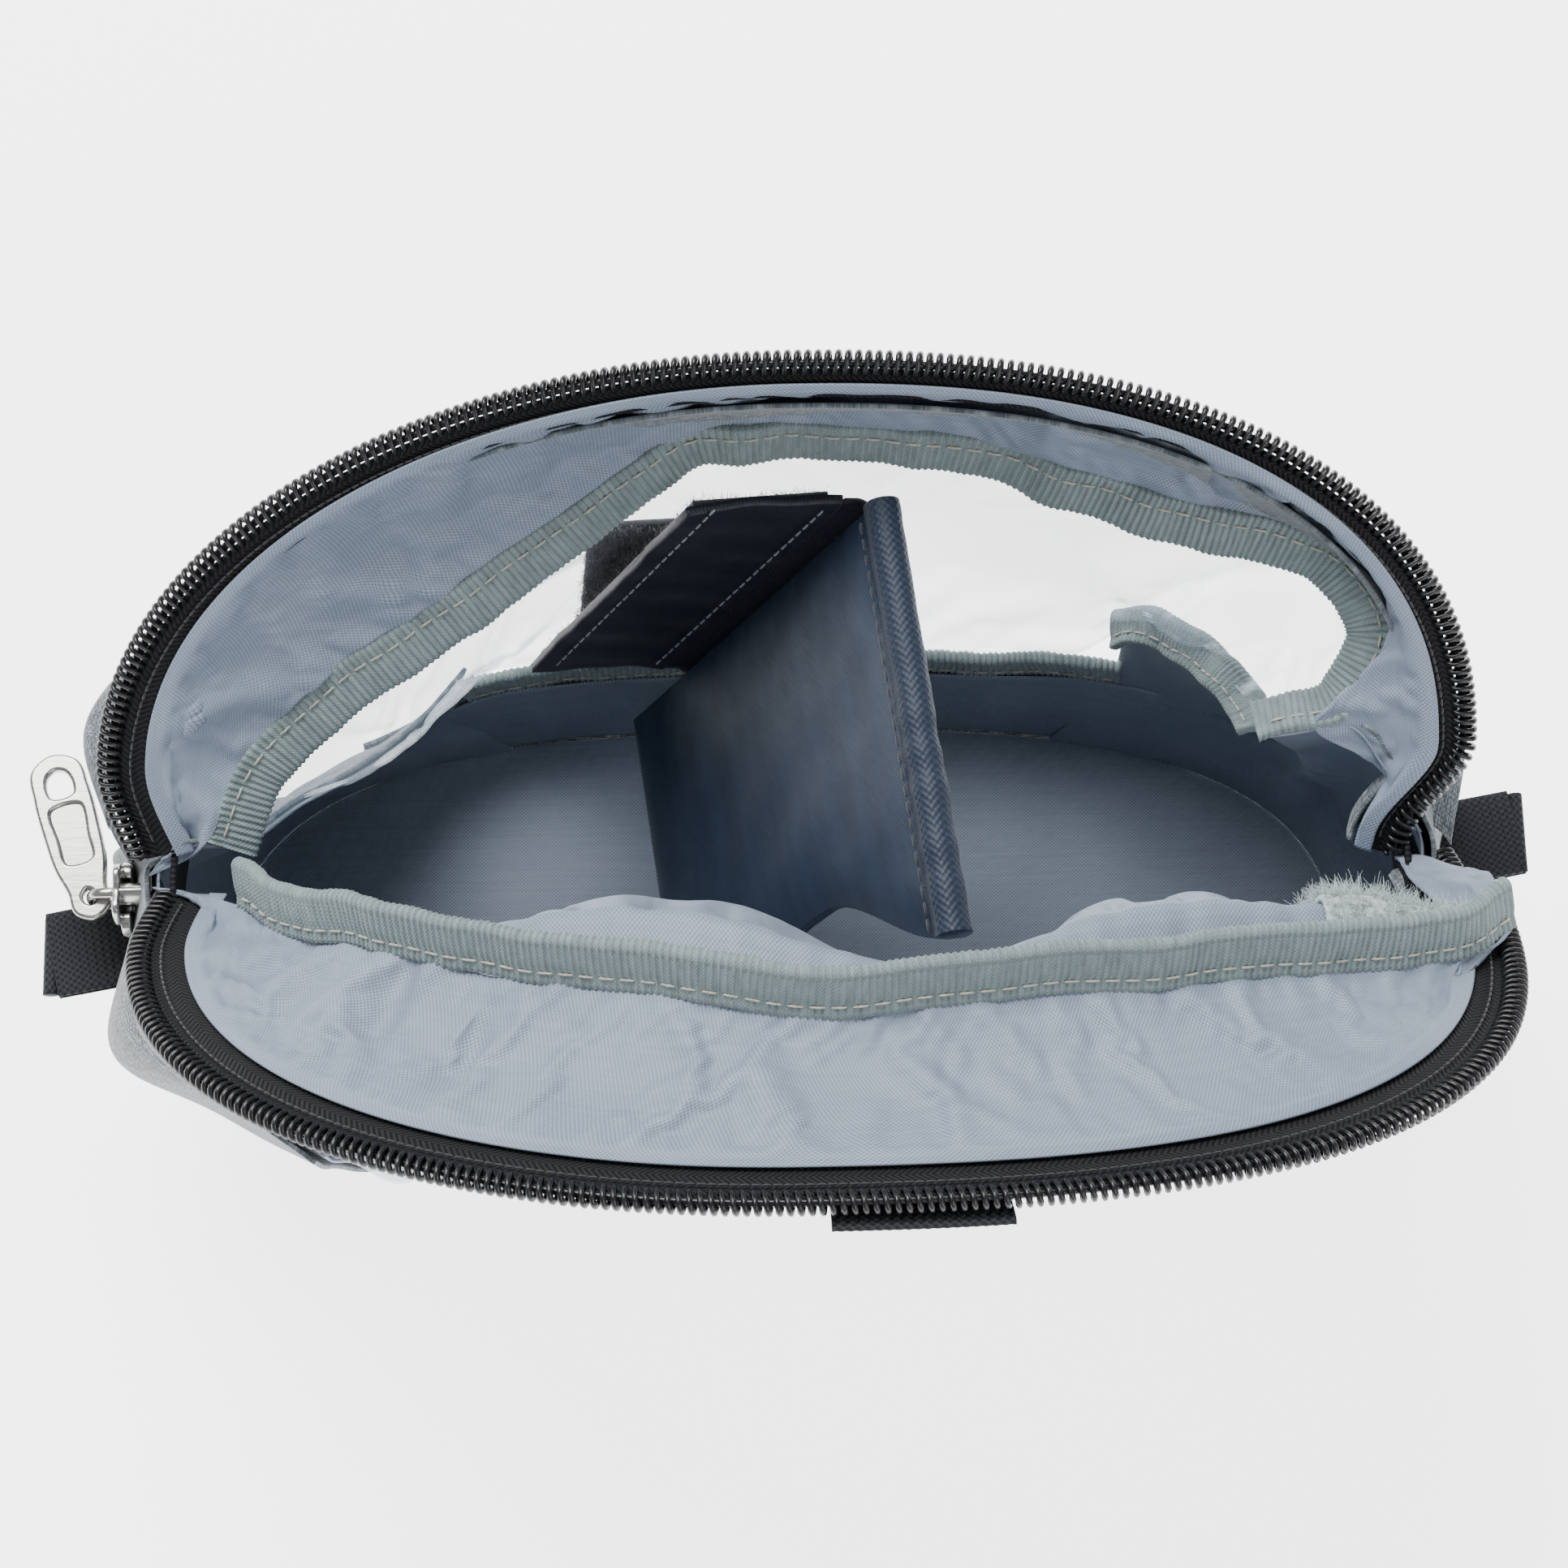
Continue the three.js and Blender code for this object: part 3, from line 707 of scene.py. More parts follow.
def coil(side, name):
    """One nylon spiral: flat loops along the arch's edge, round a filler cord."""
    share = even_shares(side, COIL_PITCH / COIL_STEPS)
    turn = 2 * math.pi * np.arange(len(share)) / COIL_STEPS
    centre = arch(side, share, COIL_WIDTH / 2 - 0.3, 1.5)
    outward = unit(np.cross(tangents(centre), rim_normal(side)))
    if (outward[len(outward) // 2, 2]) < 0:
        outward = -outward
    head = np.sign(np.cos(turn)) * np.abs(np.cos(turn)) ** 0.8 * COIL_WIDTH / 2
    rise = np.sin(turn) * (COIL_HEIGHT / 2 + 0.12 * (np.cos(turn) > 0.5))
    line = centre + outward * head[:, None] + rim_normal(side) * rise[:, None]
    thick = WIRE * (1 + 0.3 * smooth((np.cos(turn) - 0.3) / 0.7))
    spiral = tube_parts(line, thick, (0.31, 0.12, 0.94))
    core = tube_parts(centre[::COIL_STEPS], 0.62, rim_normal(side))
    vertices, faces, uv = joined([spiral, core])
    return make_mesh(name, vertices, faces, COIL, uv)


def zip_tape(side, name):
    share = np.linspace(0, 1, 420)
    edge = curve([[v] for v in TAPE_SHOWN[side]], share, even=True)[:, 0] + 2.4
    rows = []
    for across in np.linspace(0, 1, 22):
        inset = mix(2.2, edge, across)
        rows.append(arch(side, share, inset, 1.6 + 0.25 * np.exp(-((inset - 4.6) / 0.7) ** 2)))
    grid = np.stack(rows)
    return skin(name, grid, 0.55, TAPE)


def run_stitches(name, line, normal, pitch, length, radius, material):
    """A row of stitches along a line; normal is the side that they bulge to."""
    fine, far = resample(line, 0.25)
    starts = np.arange(pitch / 2, far[-1] - length, pitch)
    at = lambda d: np.stack([np.interp(d, far, fine[:, k]) for k in range(3)], axis=1)
    ends = at(starts + length)
    begins = at(starts)
    side = normal if np.ndim(normal) == 1 else None
    if side is None:
        share = (starts + length / 2) / far[-1]
        index = np.linspace(0, 1, len(normal))
        side = np.stack([np.interp(share, index, normal[:, k]) for k in range(3)], axis=1)
    parts = capsule_parts(begins, ends, radius, side=side)
    return make_mesh(name, *parts[:2], material, parts[2])


def make_zip():
    for side, label in ((1, "rear"), (-1, "front")):
        body = f"{label}_rim"
        follow(coil(side, f"{label}_coil_spiral"), body, "coil", f"{label}_zip_coil")
        follow(zip_tape(side, f"{label}_woven_tape"), body, "zip_tape", f"{label}_zip_tape")
        share = np.linspace(0.01, 0.99, 900)
        row = arch(side, share, 4.6, 1.5 - 0.6)
        stitched = run_stitches(f"{label}_coil_stitching", row, -rim_normal(side), 1.5, 1.3, 0.17, DARK_THREAD)
        follow(stitched, body, "zip_tape")


make_zip()


# ---------------------------------------------------------------- bindings

# Middle line of each binding tape, and the direction across it from its fold to its sewn edge.
REAR_BINDING = [
    (-87, 4, 79), (-81, 16, 85), (-72, 23, 89), (-59, 31, 94), (-40, 42, 101), (-26, 51, 106), (-15, 56.5, 109.5),
    (4, 58, 110), (28, 55.5, 109), (44, 51, 106), (57, 47, 103.5), (73, 44, 101), (84, 40, 98), (89.5, 31, 94),
    (85, 22.5, 89), (72, 20, 86),
]
REAR_ACROSS = [
    (-0.75, 0.3, 0.6), (-0.6, 0.5, 0.63), (-0.55, 0.5, 0.67), (-0.42, 0.45, 0.78), (-0.25, 0.35, 0.9), (0, 0.25, 0.97),
    (0.2, 0.3, 0.93), (0.45, 0.4, 0.8), (0.85, 0.2, 0.45), (0.8, -0.3, 0.5), (0.3, -0.75, 0.55),
]
FRONT_BINDING = [
    (-85, -3, 85), (-79, -8, 92), (-66, -14, 105), (-50, -20, 114), (-33, -24.5, 120), (-16, -27.5, 124),
    (6, -31, 125.5), (24, -28.5, 123.5), (49, -26, 118.5), (72, -22.5, 111), (91, -20, 104), (102, -16.5, 99.5),
    (107.5, -12.5, 96.5),
]
FRONT_ACROSS = [
    (-0.3, -0.4, -0.85), (-0.25, -0.6, -0.75), (0, -0.72, -0.69), (0, -0.72, -0.69), (0.1, -0.75, -0.65),
    (0.35, -0.65, -0.67),
]
BINDING_WIDTH = 8.2
RIB = 1.05


def binding_frame(centre, across, share):
    """Points along a binding's middle, its cross direction and its face normal."""
    middle = curve(centre, share)
    cross = unit(curve(across, share, even=True))
    ahead = tangents(middle)
    cross = unit(cross - ahead * (cross * ahead).sum(1)[:, None])
    return middle, cross, np.cross(ahead, cross)


def folded_binding(name, centre, across, seed, width=BINDING_WIDTH, thick=2.3, wave=0.5, material=None, rib=RIB):
    """A ribbed tape folded over an edge: round at the fold, thinner at its sewn edge."""
    line, far = resample(curve(centre, np.linspace(0, 1, 600)), RIB / 6)
    share = far / far[-1]
    middle, cross, face = binding_frame(centre, across, share)
    wander = ripple(far, 0 * far, seed, 9, 30)[:, None]
    middle = middle + face * wander * wave + cross * ripple(far, 0 * far, seed + 1, 14, 40)[:, None] * wave * 0.6
    turn = np.linspace(-math.pi / 2, math.pi / 2, 9)
    fold = thick / 2
    outline = [(-width / 2 + fold - fold * math.cos(a), fold * math.sin(a)) for a in turn]
    outline += [(w, h) for w, h in zip(np.linspace(-width / 2 + 1.6 * fold, width / 2, 10), np.linspace(fold, 0.72, 10))]
    outline += [(width / 2 + 0.15, 0.35), (width / 2 + 0.15, -0.35)]
    back = np.linspace(width / 2, -width / 2 + 1.6 * fold, 10)
    outline += [(w, h) for w, h in zip(back, np.linspace(-0.72, -fold, 10))]
    outline = np.array(outline)
    centre_of_tape = np.stack([np.clip(outline[:, 0], -width / 2 + fold, width / 2), 0 * outline[:, 0]], axis=1)
    away = outline - centre_of_tape
    away = away / np.maximum(np.linalg.norm(away, axis=1, keepdims=True), 1e-6)
    ribs = 0.1 * ripple(far, 0 * far, seed + 2, 3, 9)
    if rib:
        ribs = ribs + 0.13 * np.cos(2 * math.pi * far / rib)
    # The sewing draws the tape in along its stitch line.
    seam = -0.24 * np.exp(-((outline[:, 0] - width * 0.26) / 0.9) ** 2)
    shape = outline[None] + away[None] * (ribs[:, None] + seam[None])[..., None]
    rings = middle[:, None] + cross[:, None] * shape[..., :1] + face[:, None] * shape[..., 1:]
    vertices, faces, uv = loft_parts(rings)
    tape = make_mesh(name, vertices, faces, material or BINDING, uv)
    rows = []
    for sign in (1, -1):
        rows.append(middle + cross * width * 0.26 + face * sign * 0.78)
    return tape, rows, face, middle + cross * width / 2, cross


def sewn_binding(name, centre, across, seed, motion, slot, *nodes, **shape):
    tape, rows, face, edge, cross = folded_binding(name, centre, across, seed, **shape)
    follow(tape, motion, slot, *nodes)
    for row, sign, label in zip(rows, (1, -1), ("upper", "lower")):
        sewn = run_stitches(f"{name}_{label}_stitches", row, face * sign, 3.1, 2.3, 0.21, BEIGE_THREAD)
        follow(sewn, motion, slot)
    return edge, cross


rear_edge, rear_cross = sewn_binding(
    "rear_upper_grosgrain", REAR_BINDING, REAR_ACROSS, 3, "rear_rim", "binding", "rear_upper_binding")
front_edge, front_cross = sewn_binding(
    "front_pocket_grosgrain", FRONT_BINDING, FRONT_ACROSS, 11, FRONT_BLEND, "binding", "front_pocket_binding")


# ---------------------------------------------------------------- lining and shell between zip and bindings

def rail(points, count):
    return curve(points, np.linspace(0, 1, count))


def thin(line, count):
    """About count points of a line, with its ends."""
    return line[np.linspace(0, len(line) - 1, count).astype(int)]


LEFT_END = {1: [(-101, 1, 74), (-95, 3, 76)], -1: [(-100, -1, 74), (-93, -3, 78)]}
RIGHT_END = {1: [(91, 13, 83), (99, 4, 76)], -1: [(107, -8, 90), (104, -2, 77)]}


def band_rail(side, edge):
    """Lower edge of a zip half's cloth: the binding's sewn edge, carried on to both zip ends."""
    sewn = edge[:int(len(edge) * 0.965)] if side > 0 else edge
    points = thin(sewn, 19)
    return np.concatenate([LEFT_END[side], points, RIGHT_END[side]])


def band_grid(side, edge, columns=140, rows=14):
    share = np.linspace(0, 1, columns)
    shown = curve([[v] for v in TAPE_SHOWN[side]], share, even=True)[:, 0]
    top = arch(side, share, shown, 0.6)
    turned = arch(side, share, shown + 3.0, 0.5)
    bottom = rail(band_rail(side, edge), columns)
    down = np.linspace(0, 1, rows)[:, None, None]
    return np.where(down < 0.1, mix(top[None], turned[None], down / 0.1),
                    mix(turned[None], bottom[None], (down - 0.1) / 0.9))


def pins(rows, columns):
    held = np.zeros((rows, columns))
    held[0] = held[1] = held[-1] = 1
    held[:, 0] = held[:, -1] = 1
    return held


def rear_band(edge):
    grid = band_grid(1, edge)
    rows, columns = grid.shape[:2]
    down = np.linspace(0, 1, rows)[:, None]
    along = np.linspace(0, 1, columns)[None]
    bulge = np.sin(np.pi * down) * (2 + 2.5 * np.sin(np.pi * along))
    grid = grid + np.array([0, 0.75, 0.3]) * bulge[..., None]
    grid = drape(grid, pins(rows, columns), grow=0.022, bending=2)
    fine = refine(grid, 90, 620)
    u, v = grid_lengths(fine)
    tall = v / v.max()
    normal = grid_normals(fine)
    wrinkle = 0.5 * ripple(u, v, 21, 18, 60) * np.sin(np.pi * tall)
    # Gathers at the binding, strongest where the cloth turns at the left.
    gather = np.exp(-((1 - tall) / 0.25) ** 2) * (0.18 + 0.6 * np.exp(-((u - 45) / 25) ** 2))
    wrinkle = wrinkle + gather * ripple(u, 0.2 * v, 22, 5, 12)
    wrinkle = wrinkle - 2.2 * crease(u, v, (22, v.max() * 0.2), (40, v.max()), 4)
    wrinkle = wrinkle - 1.8 * crease(u, v, (52, v.max() * 0.5), (64, v.max()), 3.5)
    fine = fine + normal * wrinkle[..., None]
    lining = skin("rear_band_oxford", fine, 0.4, LINING)
    follow(lining, "rear_rim", "lining", "rear_band_lining")
    cloth(lining, fine, "gathered", "rear_woven_tape", "rear_upper_grosgrain")
    return fine


def front_band(edge):
    grid = band_grid(-1, edge)
    rows, columns = grid.shape[:2]
    down = np.linspace(0, 1, rows)[:, None]
    along = np.linspace(0, 1, columns)[None]
    bulge = np.sin(np.pi * down ** 0.8) * 3.5 * np.sin(np.pi * along) ** 0.4
    grid = grid + np.array([0, 0.1, 0.95]) * bulge[..., None]
    grid = drape(grid, pins(rows, columns), grow=0.02, bending=4)
    fine = refine(grid, 100, 640)
    u, v = grid_lengths(fine)
    tall = v / v.max()
    normal = grid_normals(fine)
    if normal[50, 320, 2] < 0:
        normal = -normal
    wrinkle = 0.55 * ripple(u, v, 31, 16, 55) * np.sin(np.pi * tall)
    gather = np.exp(-((1 - tall) / 0.3) ** 2) * (0.22 + 0.8 * np.exp(-((u - 48) / 22) ** 2))
    wrinkle = wrinkle + gather * ripple(u, 0.25 * v, 32, 6, 13)
    for start, slant in ((38, -10), (47, -6), (58, 2), (70, 8)):
        wrinkle = wrinkle - 1.5 * crease(u, v, (start, v.max()), (start + slant, v.max() * 0.35), 2.6)
    fine = fine + normal * wrinkle[..., None]
    lining = skin("front_band_oxford", fine, 0.4, LINING)
    follow(lining, FRONT_BLEND, "lining", "front_band_lining")
    cloth(lining, fine, "gathered", "front_woven_tape", "front_pocket_grosgrain")
    return fine


rear_cloth = rear_band(rear_edge)
front_cloth = front_band(front_edge)


def shell_band(side, name, bottom, motion, node, bulge):
    """Heather cloth outside a zip half, from over its tape down to a lower edge."""
    columns, rows = 420, 46
    share = np.linspace(0, 1, columns)
    top = arch(side, share, 8.6, 3.0)
    tape_edge = arch(side, share, 9.4, 4.6) if side > 0 else arch(side, share, 11, 3.1)
    foot = rail(bottom, columns)
    down = np.linspace(0, 1, rows)[:, None, None]
    grid = np.where(down < 0.12, mix(top[None], tape_edge[None], down / 0.12),
                    mix(tape_edge[None], foot[None], (down - 0.12) / 0.88))
    tall = np.linspace(0, 1, rows)[:, None] * np.ones((1, columns))
    along = np.ones((rows, 1)) * share[None]
    puff = bulge(along) * np.sin(np.pi * np.clip(tall * 1.05 - 0.05, 0, 1))
    away = np.stack([np.sign(grid[..., 0]) * np.abs(grid[..., 0] / 105) ** 3, side * 0.8 + 0 * puff, 0.1 + 0 * puff], -1)
    grid = grid + unit(away) * puff[..., None]
    u, v = grid_lengths(grid)
    grid = grid + grid_normals(grid) * (0.35 * ripple(u, v, 41 + side, 14, 40) * np.sin(np.pi * tall))[..., None]
    shell = follow(skin(name, grid, 0.7, HEATHER), motion, "outer_fabric", node)
    cloth(shell, grid, "stretched", f"{'rear' if side > 0 else 'front'}_woven_tape")


def ends_bulge(middle, left, right):
    return lambda along: middle + left * np.exp(-(along / 0.16) ** 2) + right * np.exp(-((1 - along) / 0.16) ** 2)


REAR_SHELL_FOOT = [
    (-104, 4, 68), (-108, 20, 73), (-95, 36, 81), (-71, 45, 91), (-45, 52.5, 100.5), (-18, 60, 108), (4, 61.5, 109),
    (30, 60, 108), (58, 53, 104), (80, 45, 96), (97, 36, 88), (106, 20, 78), (105, 4, 68),
]
FRONT_SHELL_FOOT = [
    (-103, -4, 66), (-101, -20, 66), (-92, -31, 70), (-72, -38, 78), (-48, -38, 93), (-20, -37, 102), (0, -36.5, 104),
    (25, -37, 102), (52, -38, 92), (76, -37, 78), (95, -29, 70), (102, -18, 66), (103, -4, 66),
]
shell_band(1, "rear_shoulder_heather", REAR_SHELL_FOOT, "rear_rim", "rear_band_outer", ends_bulge(0.5, 11, 4))
shell_band(-1, "front_shoulder_heather", FRONT_SHELL_FOOT, FRONT_BLEND, "front_band_outer", ends_bulge(0.5, 8, 3))


# ---------------------------------------------------------------- bag body

WALL_POWER = 2.8
HALF_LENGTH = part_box("base_panel")[1].x / MM
HALF_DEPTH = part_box("base_panel")[1].y / MM
REAR_BULGE = 9.5
FRONT_DEPTH = 39.0
FRONT_LEAN = 2.5
WALL_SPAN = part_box("rear_lower_wall")[1].x / MM


def half_depth(side, z):
    if side > 0:
        return HALF_DEPTH + REAR_BULGE * (1 - (1 - np.minimum(z, 103) / 103) ** 2)
    return FRONT_DEPTH - FRONT_LEAN * (z / 110) ** 2


def around(side_end, share, z, inset=0.0):
    """A point of the bag's outline at height z. share runs from the middle of the front, -1, past an
    end of the bag, 0, to the middle of the rear, 1; side_end is -1 at the left end and 1 at the right."""
    angle = np.abs(share) * math.pi / 2
    power = 2 / WALL_POWER
    x = side_end * (HALF_LENGTH + 0.4 - inset) * np.cos(angle) ** power
    depth = np.where(share > 0, half_depth(1, z), half_depth(-1, z)) - inset
    return np.stack([x, np.sign(share) * depth * np.sin(angle) ** power, z * np.ones_like(x)], axis=-1)


def wall(side, x, z, inset=0.0):
    share = np.clip(1 - np.abs(x / (HALF_LENGTH + 0.4)) ** WALL_POWER, 0, 1)
    y = side * (half_depth(side, z) * share ** (1 / WALL_POWER) - inset)
    return np.stack([x * np.ones_like(y), y, z * np.ones_like(y)], axis=-1)


def wall_grid(side, span, low, high, inset, columns, rows):
    """low and high are heights, as functions of x."""
    x = np.linspace(-span, span, columns)[None]
    t = np.linspace(0, 1, rows)[:, None]
    return wall(side, x, mix(low(x), high(x), t), inset)


SKIRT_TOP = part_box("rear_lower_wall")[1].z / MM
BASE_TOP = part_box("base_panel")[1].z / MM


def rear_skirt(x):
    """Top of the cloth below the rear window, which sags towards the left and rises at the right."""
    return SKIRT_TOP + 0 * x - 9 * smooth((-x - 48) / 24) + 3 * smooth((x - 35) / 20)


def base_pieces():
    turn = np.linspace(0, 2 * math.pi, 241)[:-1]
    power = 2 / WALL_POWER
    rings = []
    for name, inset, low, high, material, slot, node in (
            ("base_heather", 0.0, 0.0, 1.5, HEATHER, "outer_fabric", "base_panel"),
            ("base_oxford", 1.4, 1.9, 2.6, PAINTED_SHADE_LINING, "lining", "base_lining")):
        outline = np.stack([np.sign(np.cos(turn)) * np.abs(np.cos(turn)) ** power * (HALF_LENGTH - inset),
                            np.sign(np.sin(turn)) * np.abs(np.sin(turn)) ** power
                            * (np.where(np.sin(turn) > 0, HALF_DEPTH, FRONT_DEPTH) - inset)], axis=1)
        shares = [0.02, *np.linspace(0.08, 0.96, 34), 0.99, 1.0, 1.0, 0.99, *np.linspace(0.96, 0.08, 34), 0.02]
        heights = [high] * 35 + [high, mix(low, high, 0.7), mix(low, high, 0.3), low] + [low] * 35
        rings = []
        for share, height in zip(shares, heights):
            ring = np.concatenate([outline * share, np.full((len(turn), 1), height)], axis=1)
            if height == high:
                ring[:, 2] += (1 - share ** 6) * 0.35 * (1 + ripple(ring[:, 0], ring[:, 1], 51, 25, 70))
            rings.append(ring)
        vertices, faces, _ = loft_parts(rings)
        piece = make_mesh(name, vertices, faces, material, vertices[:, :2])
        follow(piece, "pouch", slot, node)


base_pieces()


def ruffled(grid, amount, seed, shortest=14, longest=50):
    u, v = grid_lengths(grid)
    tall = v / v.max()
    return grid + grid_normals(grid) * (amount * ripple(u, v, seed, shortest, longest) * np.sin(np.pi * tall))[..., None]


def walls():
    flat_foot = lambda x: BASE_TOP + 0.3 + 0 * x
    lining_foot = lambda x: BASE_TOP + 1.4 + 0 * x
    for side, label in ((1, "rear"), (-1, "front")):
        top = rear_skirt if side > 0 else (lambda x: SKIRT_TOP + 0 * x)
        outer = wall_grid(side, WALL_SPAN, flat_foot, top, 0.4, 300, 26)
        outer = ruffled(outer, 0.4, 61 + side)
        shell = skin(f"{label}_skirt_heather", outer, 0.7, HEATHER)
        cloth(follow(shell, "pouch", "outer_fabric", f"{label}_lower_wall"), outer, "stretched", "base_heather")
        inner = wall_grid(side, WALL_SPAN, lining_foot, top, 1.6, 300, 26)
        inner = ruffled(inner, 0.5, 64 + side)
        lining = skin(f"{label}_skirt_oxford", inner, 0.4, PAINTED_SHADE_LINING)
        cloth(follow(lining, "pouch", "lining", f"{label}_lower_lining"), inner, "stretched", "base_oxford")


walls()


def lower_bindings():
    for side, label in ((1, "rear"), (-1, "front")):
        ends = (-55, 58) if side > 0 else (1 - WALL_SPAN, WALL_SPAN - 1)
        x = np.linspace(*ends, 14)
        top = rear_skirt(x) if side > 0 else SKIRT_TOP + 0 * x
        centre = wall(side, x, top + 4.4, 1.2)
        sewn_binding(f"{label}_lower_grosgrain", centre, [(0, 0, -1), (0, 0, -1)], 70 + side, "pouch", "binding",
                     f"{label}_lower_binding", width=7.8, wave=0.35)


lower_bindings()


# ---------------------------------------------------------------- windows

def film_creases(u, v, lines):
    return sum(height * crease(u, v, start, end, width) for start, end, width, height in lines)


# Lower edge of the rear window at each end of the bag: from the lower binding up to the upper one.
WINDOW_EDGE = {
    -1: [(-53, 48, 28), (-61, 38, 30), (-70, 28, 39), (-79, 18, 54), (-84, 9, 68), (-86, 5, 77)],
    1: [(57, 49, 44), (61, 46.5, 53), (66, 41, 58), (70, 34, 66), (72.5, 27, 75), (73, 20, 82)],
}


def window_top(edge):
    """The upper binding's sewn edge, from its left end to its right end."""
    return thin(edge, 22)


def rear_window(edge):
    columns, rows = 110, 24
    top = rail(window_top(edge), columns)
    middle = np.linspace(WINDOW_EDGE[-1][0][0] + 7, WINDOW_EDGE[1][0][0] - 7, 8)
    low = wall(1, middle, rear_skirt(middle) + 8.3, 0.8)
    bottom = rail(np.concatenate([WINDOW_EDGE[-1][::-1], low, WINDOW_EDGE[1]]), columns)
    down = np.linspace(0, 1, rows)[:, None, None]
    grid = mix(top[None], bottom[None], down)
    along = np.linspace(0, 1, columns)[None]
    tall = np.linspace(0, 1, rows)[:, None]
    out = np.sin(np.pi * tall) * (4 * np.sin(np.pi * along) - 5 * np.exp(-((along - 0.22) / 0.08) ** 2)
                                  - 4 * np.exp(-((along - 0.8) / 0.07) ** 2))
    grid = grid + np.array([0, 1, 0]) * out[..., None]
    grid = drape(grid, pins(rows, columns), grow=0.02, bending=12, stiffness=20)
    fine = refine(grid, 130, 520)
    u, v = grid_lengths(fine)
    w, h = u.max(), v.max()
    shape = film_creases(u, v, [
        ((w * 0.13, 0), (w * 0.26, h), 3.0, 1.8), ((w * 0.3, 0), (w * 0.17, h), 2.2, -1.3),
        ((w * 0.86, 0), (w * 0.74, h), 3.0, 1.8), ((w * 0.78, 0), (w * 0.84, h), 2.2, -1.3),
        ((w * 0.5, 0), (w * 0.58, h), 5.0, 0.8),
    ])
    fine = fine + grid_normals(fine) * ((shape + 0.4 * ripple(u, v, 81, 15, 45)) * np.sin(np.pi * v / h))[..., None]
    film = skin("rear_window_sheet", fine, 0.35, FILM)
    follow(film, REAR_BLEND, "film", "rear_window_film")
    cloth(film, fine, "hung", "rear_upper_grosgrain", "rear_lower_grosgrain")


def front_window():
    columns, rows = 420, 120
    x = np.linspace(-WALL_SPAN - 12, WALL_SPAN + 12, columns)[None]
    rise = 28 * np.sin(np.pi * np.linspace(0, 1, columns)) ** 0.6
    low = SKIRT_TOP + 8.5 + 0 * x
    t = np.linspace(0, 1, rows)[:, None]
    grid = wall(-1, x, mix(low, MOUTH_Z + rise[None], t), -0.2)
    grid[..., 1] -= np.sin(np.pi * t) * (2 + 7 * np.exp(-((x + 66) / 20) ** 2))
    u, v = grid_lengths(grid)
    w, h = u.max(), v.max()
    shape = film_creases(u, v, [
        ((w * 0.1, 0), (w * 0.22, h), 4, 1.8), ((w * 0.28, 0), (w * 0.2, h), 3, -1.2),
        ((w * 0.7, 0), (w * 0.84, h), 4, 1.6), ((w * 0.5, 0), (w * 0.45, h), 5, 0.9),
    ])
    grid = grid + grid_normals(grid) * (shape + 0.4 * ripple(u, v, 83, 15, 45))[..., None]
    film = follow(skin("front_window_sheet", grid, 0.35, FILM), WALL_BLEND, "film", "front_window_film")
    cloth(film, grid, "stretched", "front_lower_grosgrain")


rear_window(rear_edge)
front_window()
sewn_binding("window_right_grosgrain", WINDOW_EDGE[1], [(-0.4, -0.3, -0.85), (-0.75, -0.2, -0.6), (-0.8, 0.2, -0.5)], 75,
             REAR_BLEND, "binding", width=6.5, wave=0.8)


# ---------------------------------------------------------------- end panels

def end_rails(end):
    """Top and foot of an end panel, from the front corner round the end to the rear window."""
    span = WALL_SPAN * 1.0
    front = [(end * span, -43, 70), (end * 86, -33, 73), (end * 95.5, -18, 74)]
    middle = [(end * 99, 0, 74.5)]
    if end < 0:
        rise = [(-96.5, 3.5, 75.5), (-91, 5, 80)]
    else:
        rise = [(97, 6, 78.5), (91.5, 13, 85), (85.5, 18, 89)]
    top = np.array(front + middle + rise + WINDOW_EDGE[end][::-1])
    reach = np.concatenate([[-0.62, -0.42, -0.2], np.linspace(0, 0.76, len(top) - 3)])
    foot = around(end, reach, np.full(len(reach), BASE_TOP + 1.2), 2.2)
    return top, foot


def end_panel(end):
    columns, rows = 250, 150
    top, foot = end_rails(end)
    share = np.linspace(0, 1, columns)
    down = np.linspace(0, 1, rows)[:, None, None]
    grid = mix(curve(top, share, even=True)[None], curve(foot, share, even=True)[None], down)
    tall = down[..., 0]
    along = share[None] + 0 * tall
    # The panel stands out between the mouth and the base, and creases below the window's corner.
    stand = np.sin(np.pi * tall) * (4 + 3 * np.sin(np.pi * along))
    grid[..., 0] += end * stand
    u, v = grid_lengths(grid)
    wrinkle = 0.8 * ripple(u, v, 94 + end, 16, 50) * np.sin(np.pi * tall)
    centre = (u.max() * 0.7, v.max() * 0.5)
    for angle in np.radians([20, 75, 130, 185, 240, 300]):
        tip = (centre[0] + 28 * math.cos(angle), centre[1] + 28 * math.sin(angle))
        wrinkle = wrinkle - 1.2 * crease(u, v, centre, tip, 3)
    return grid + grid_normals(grid) * wrinkle[..., None], along, tall


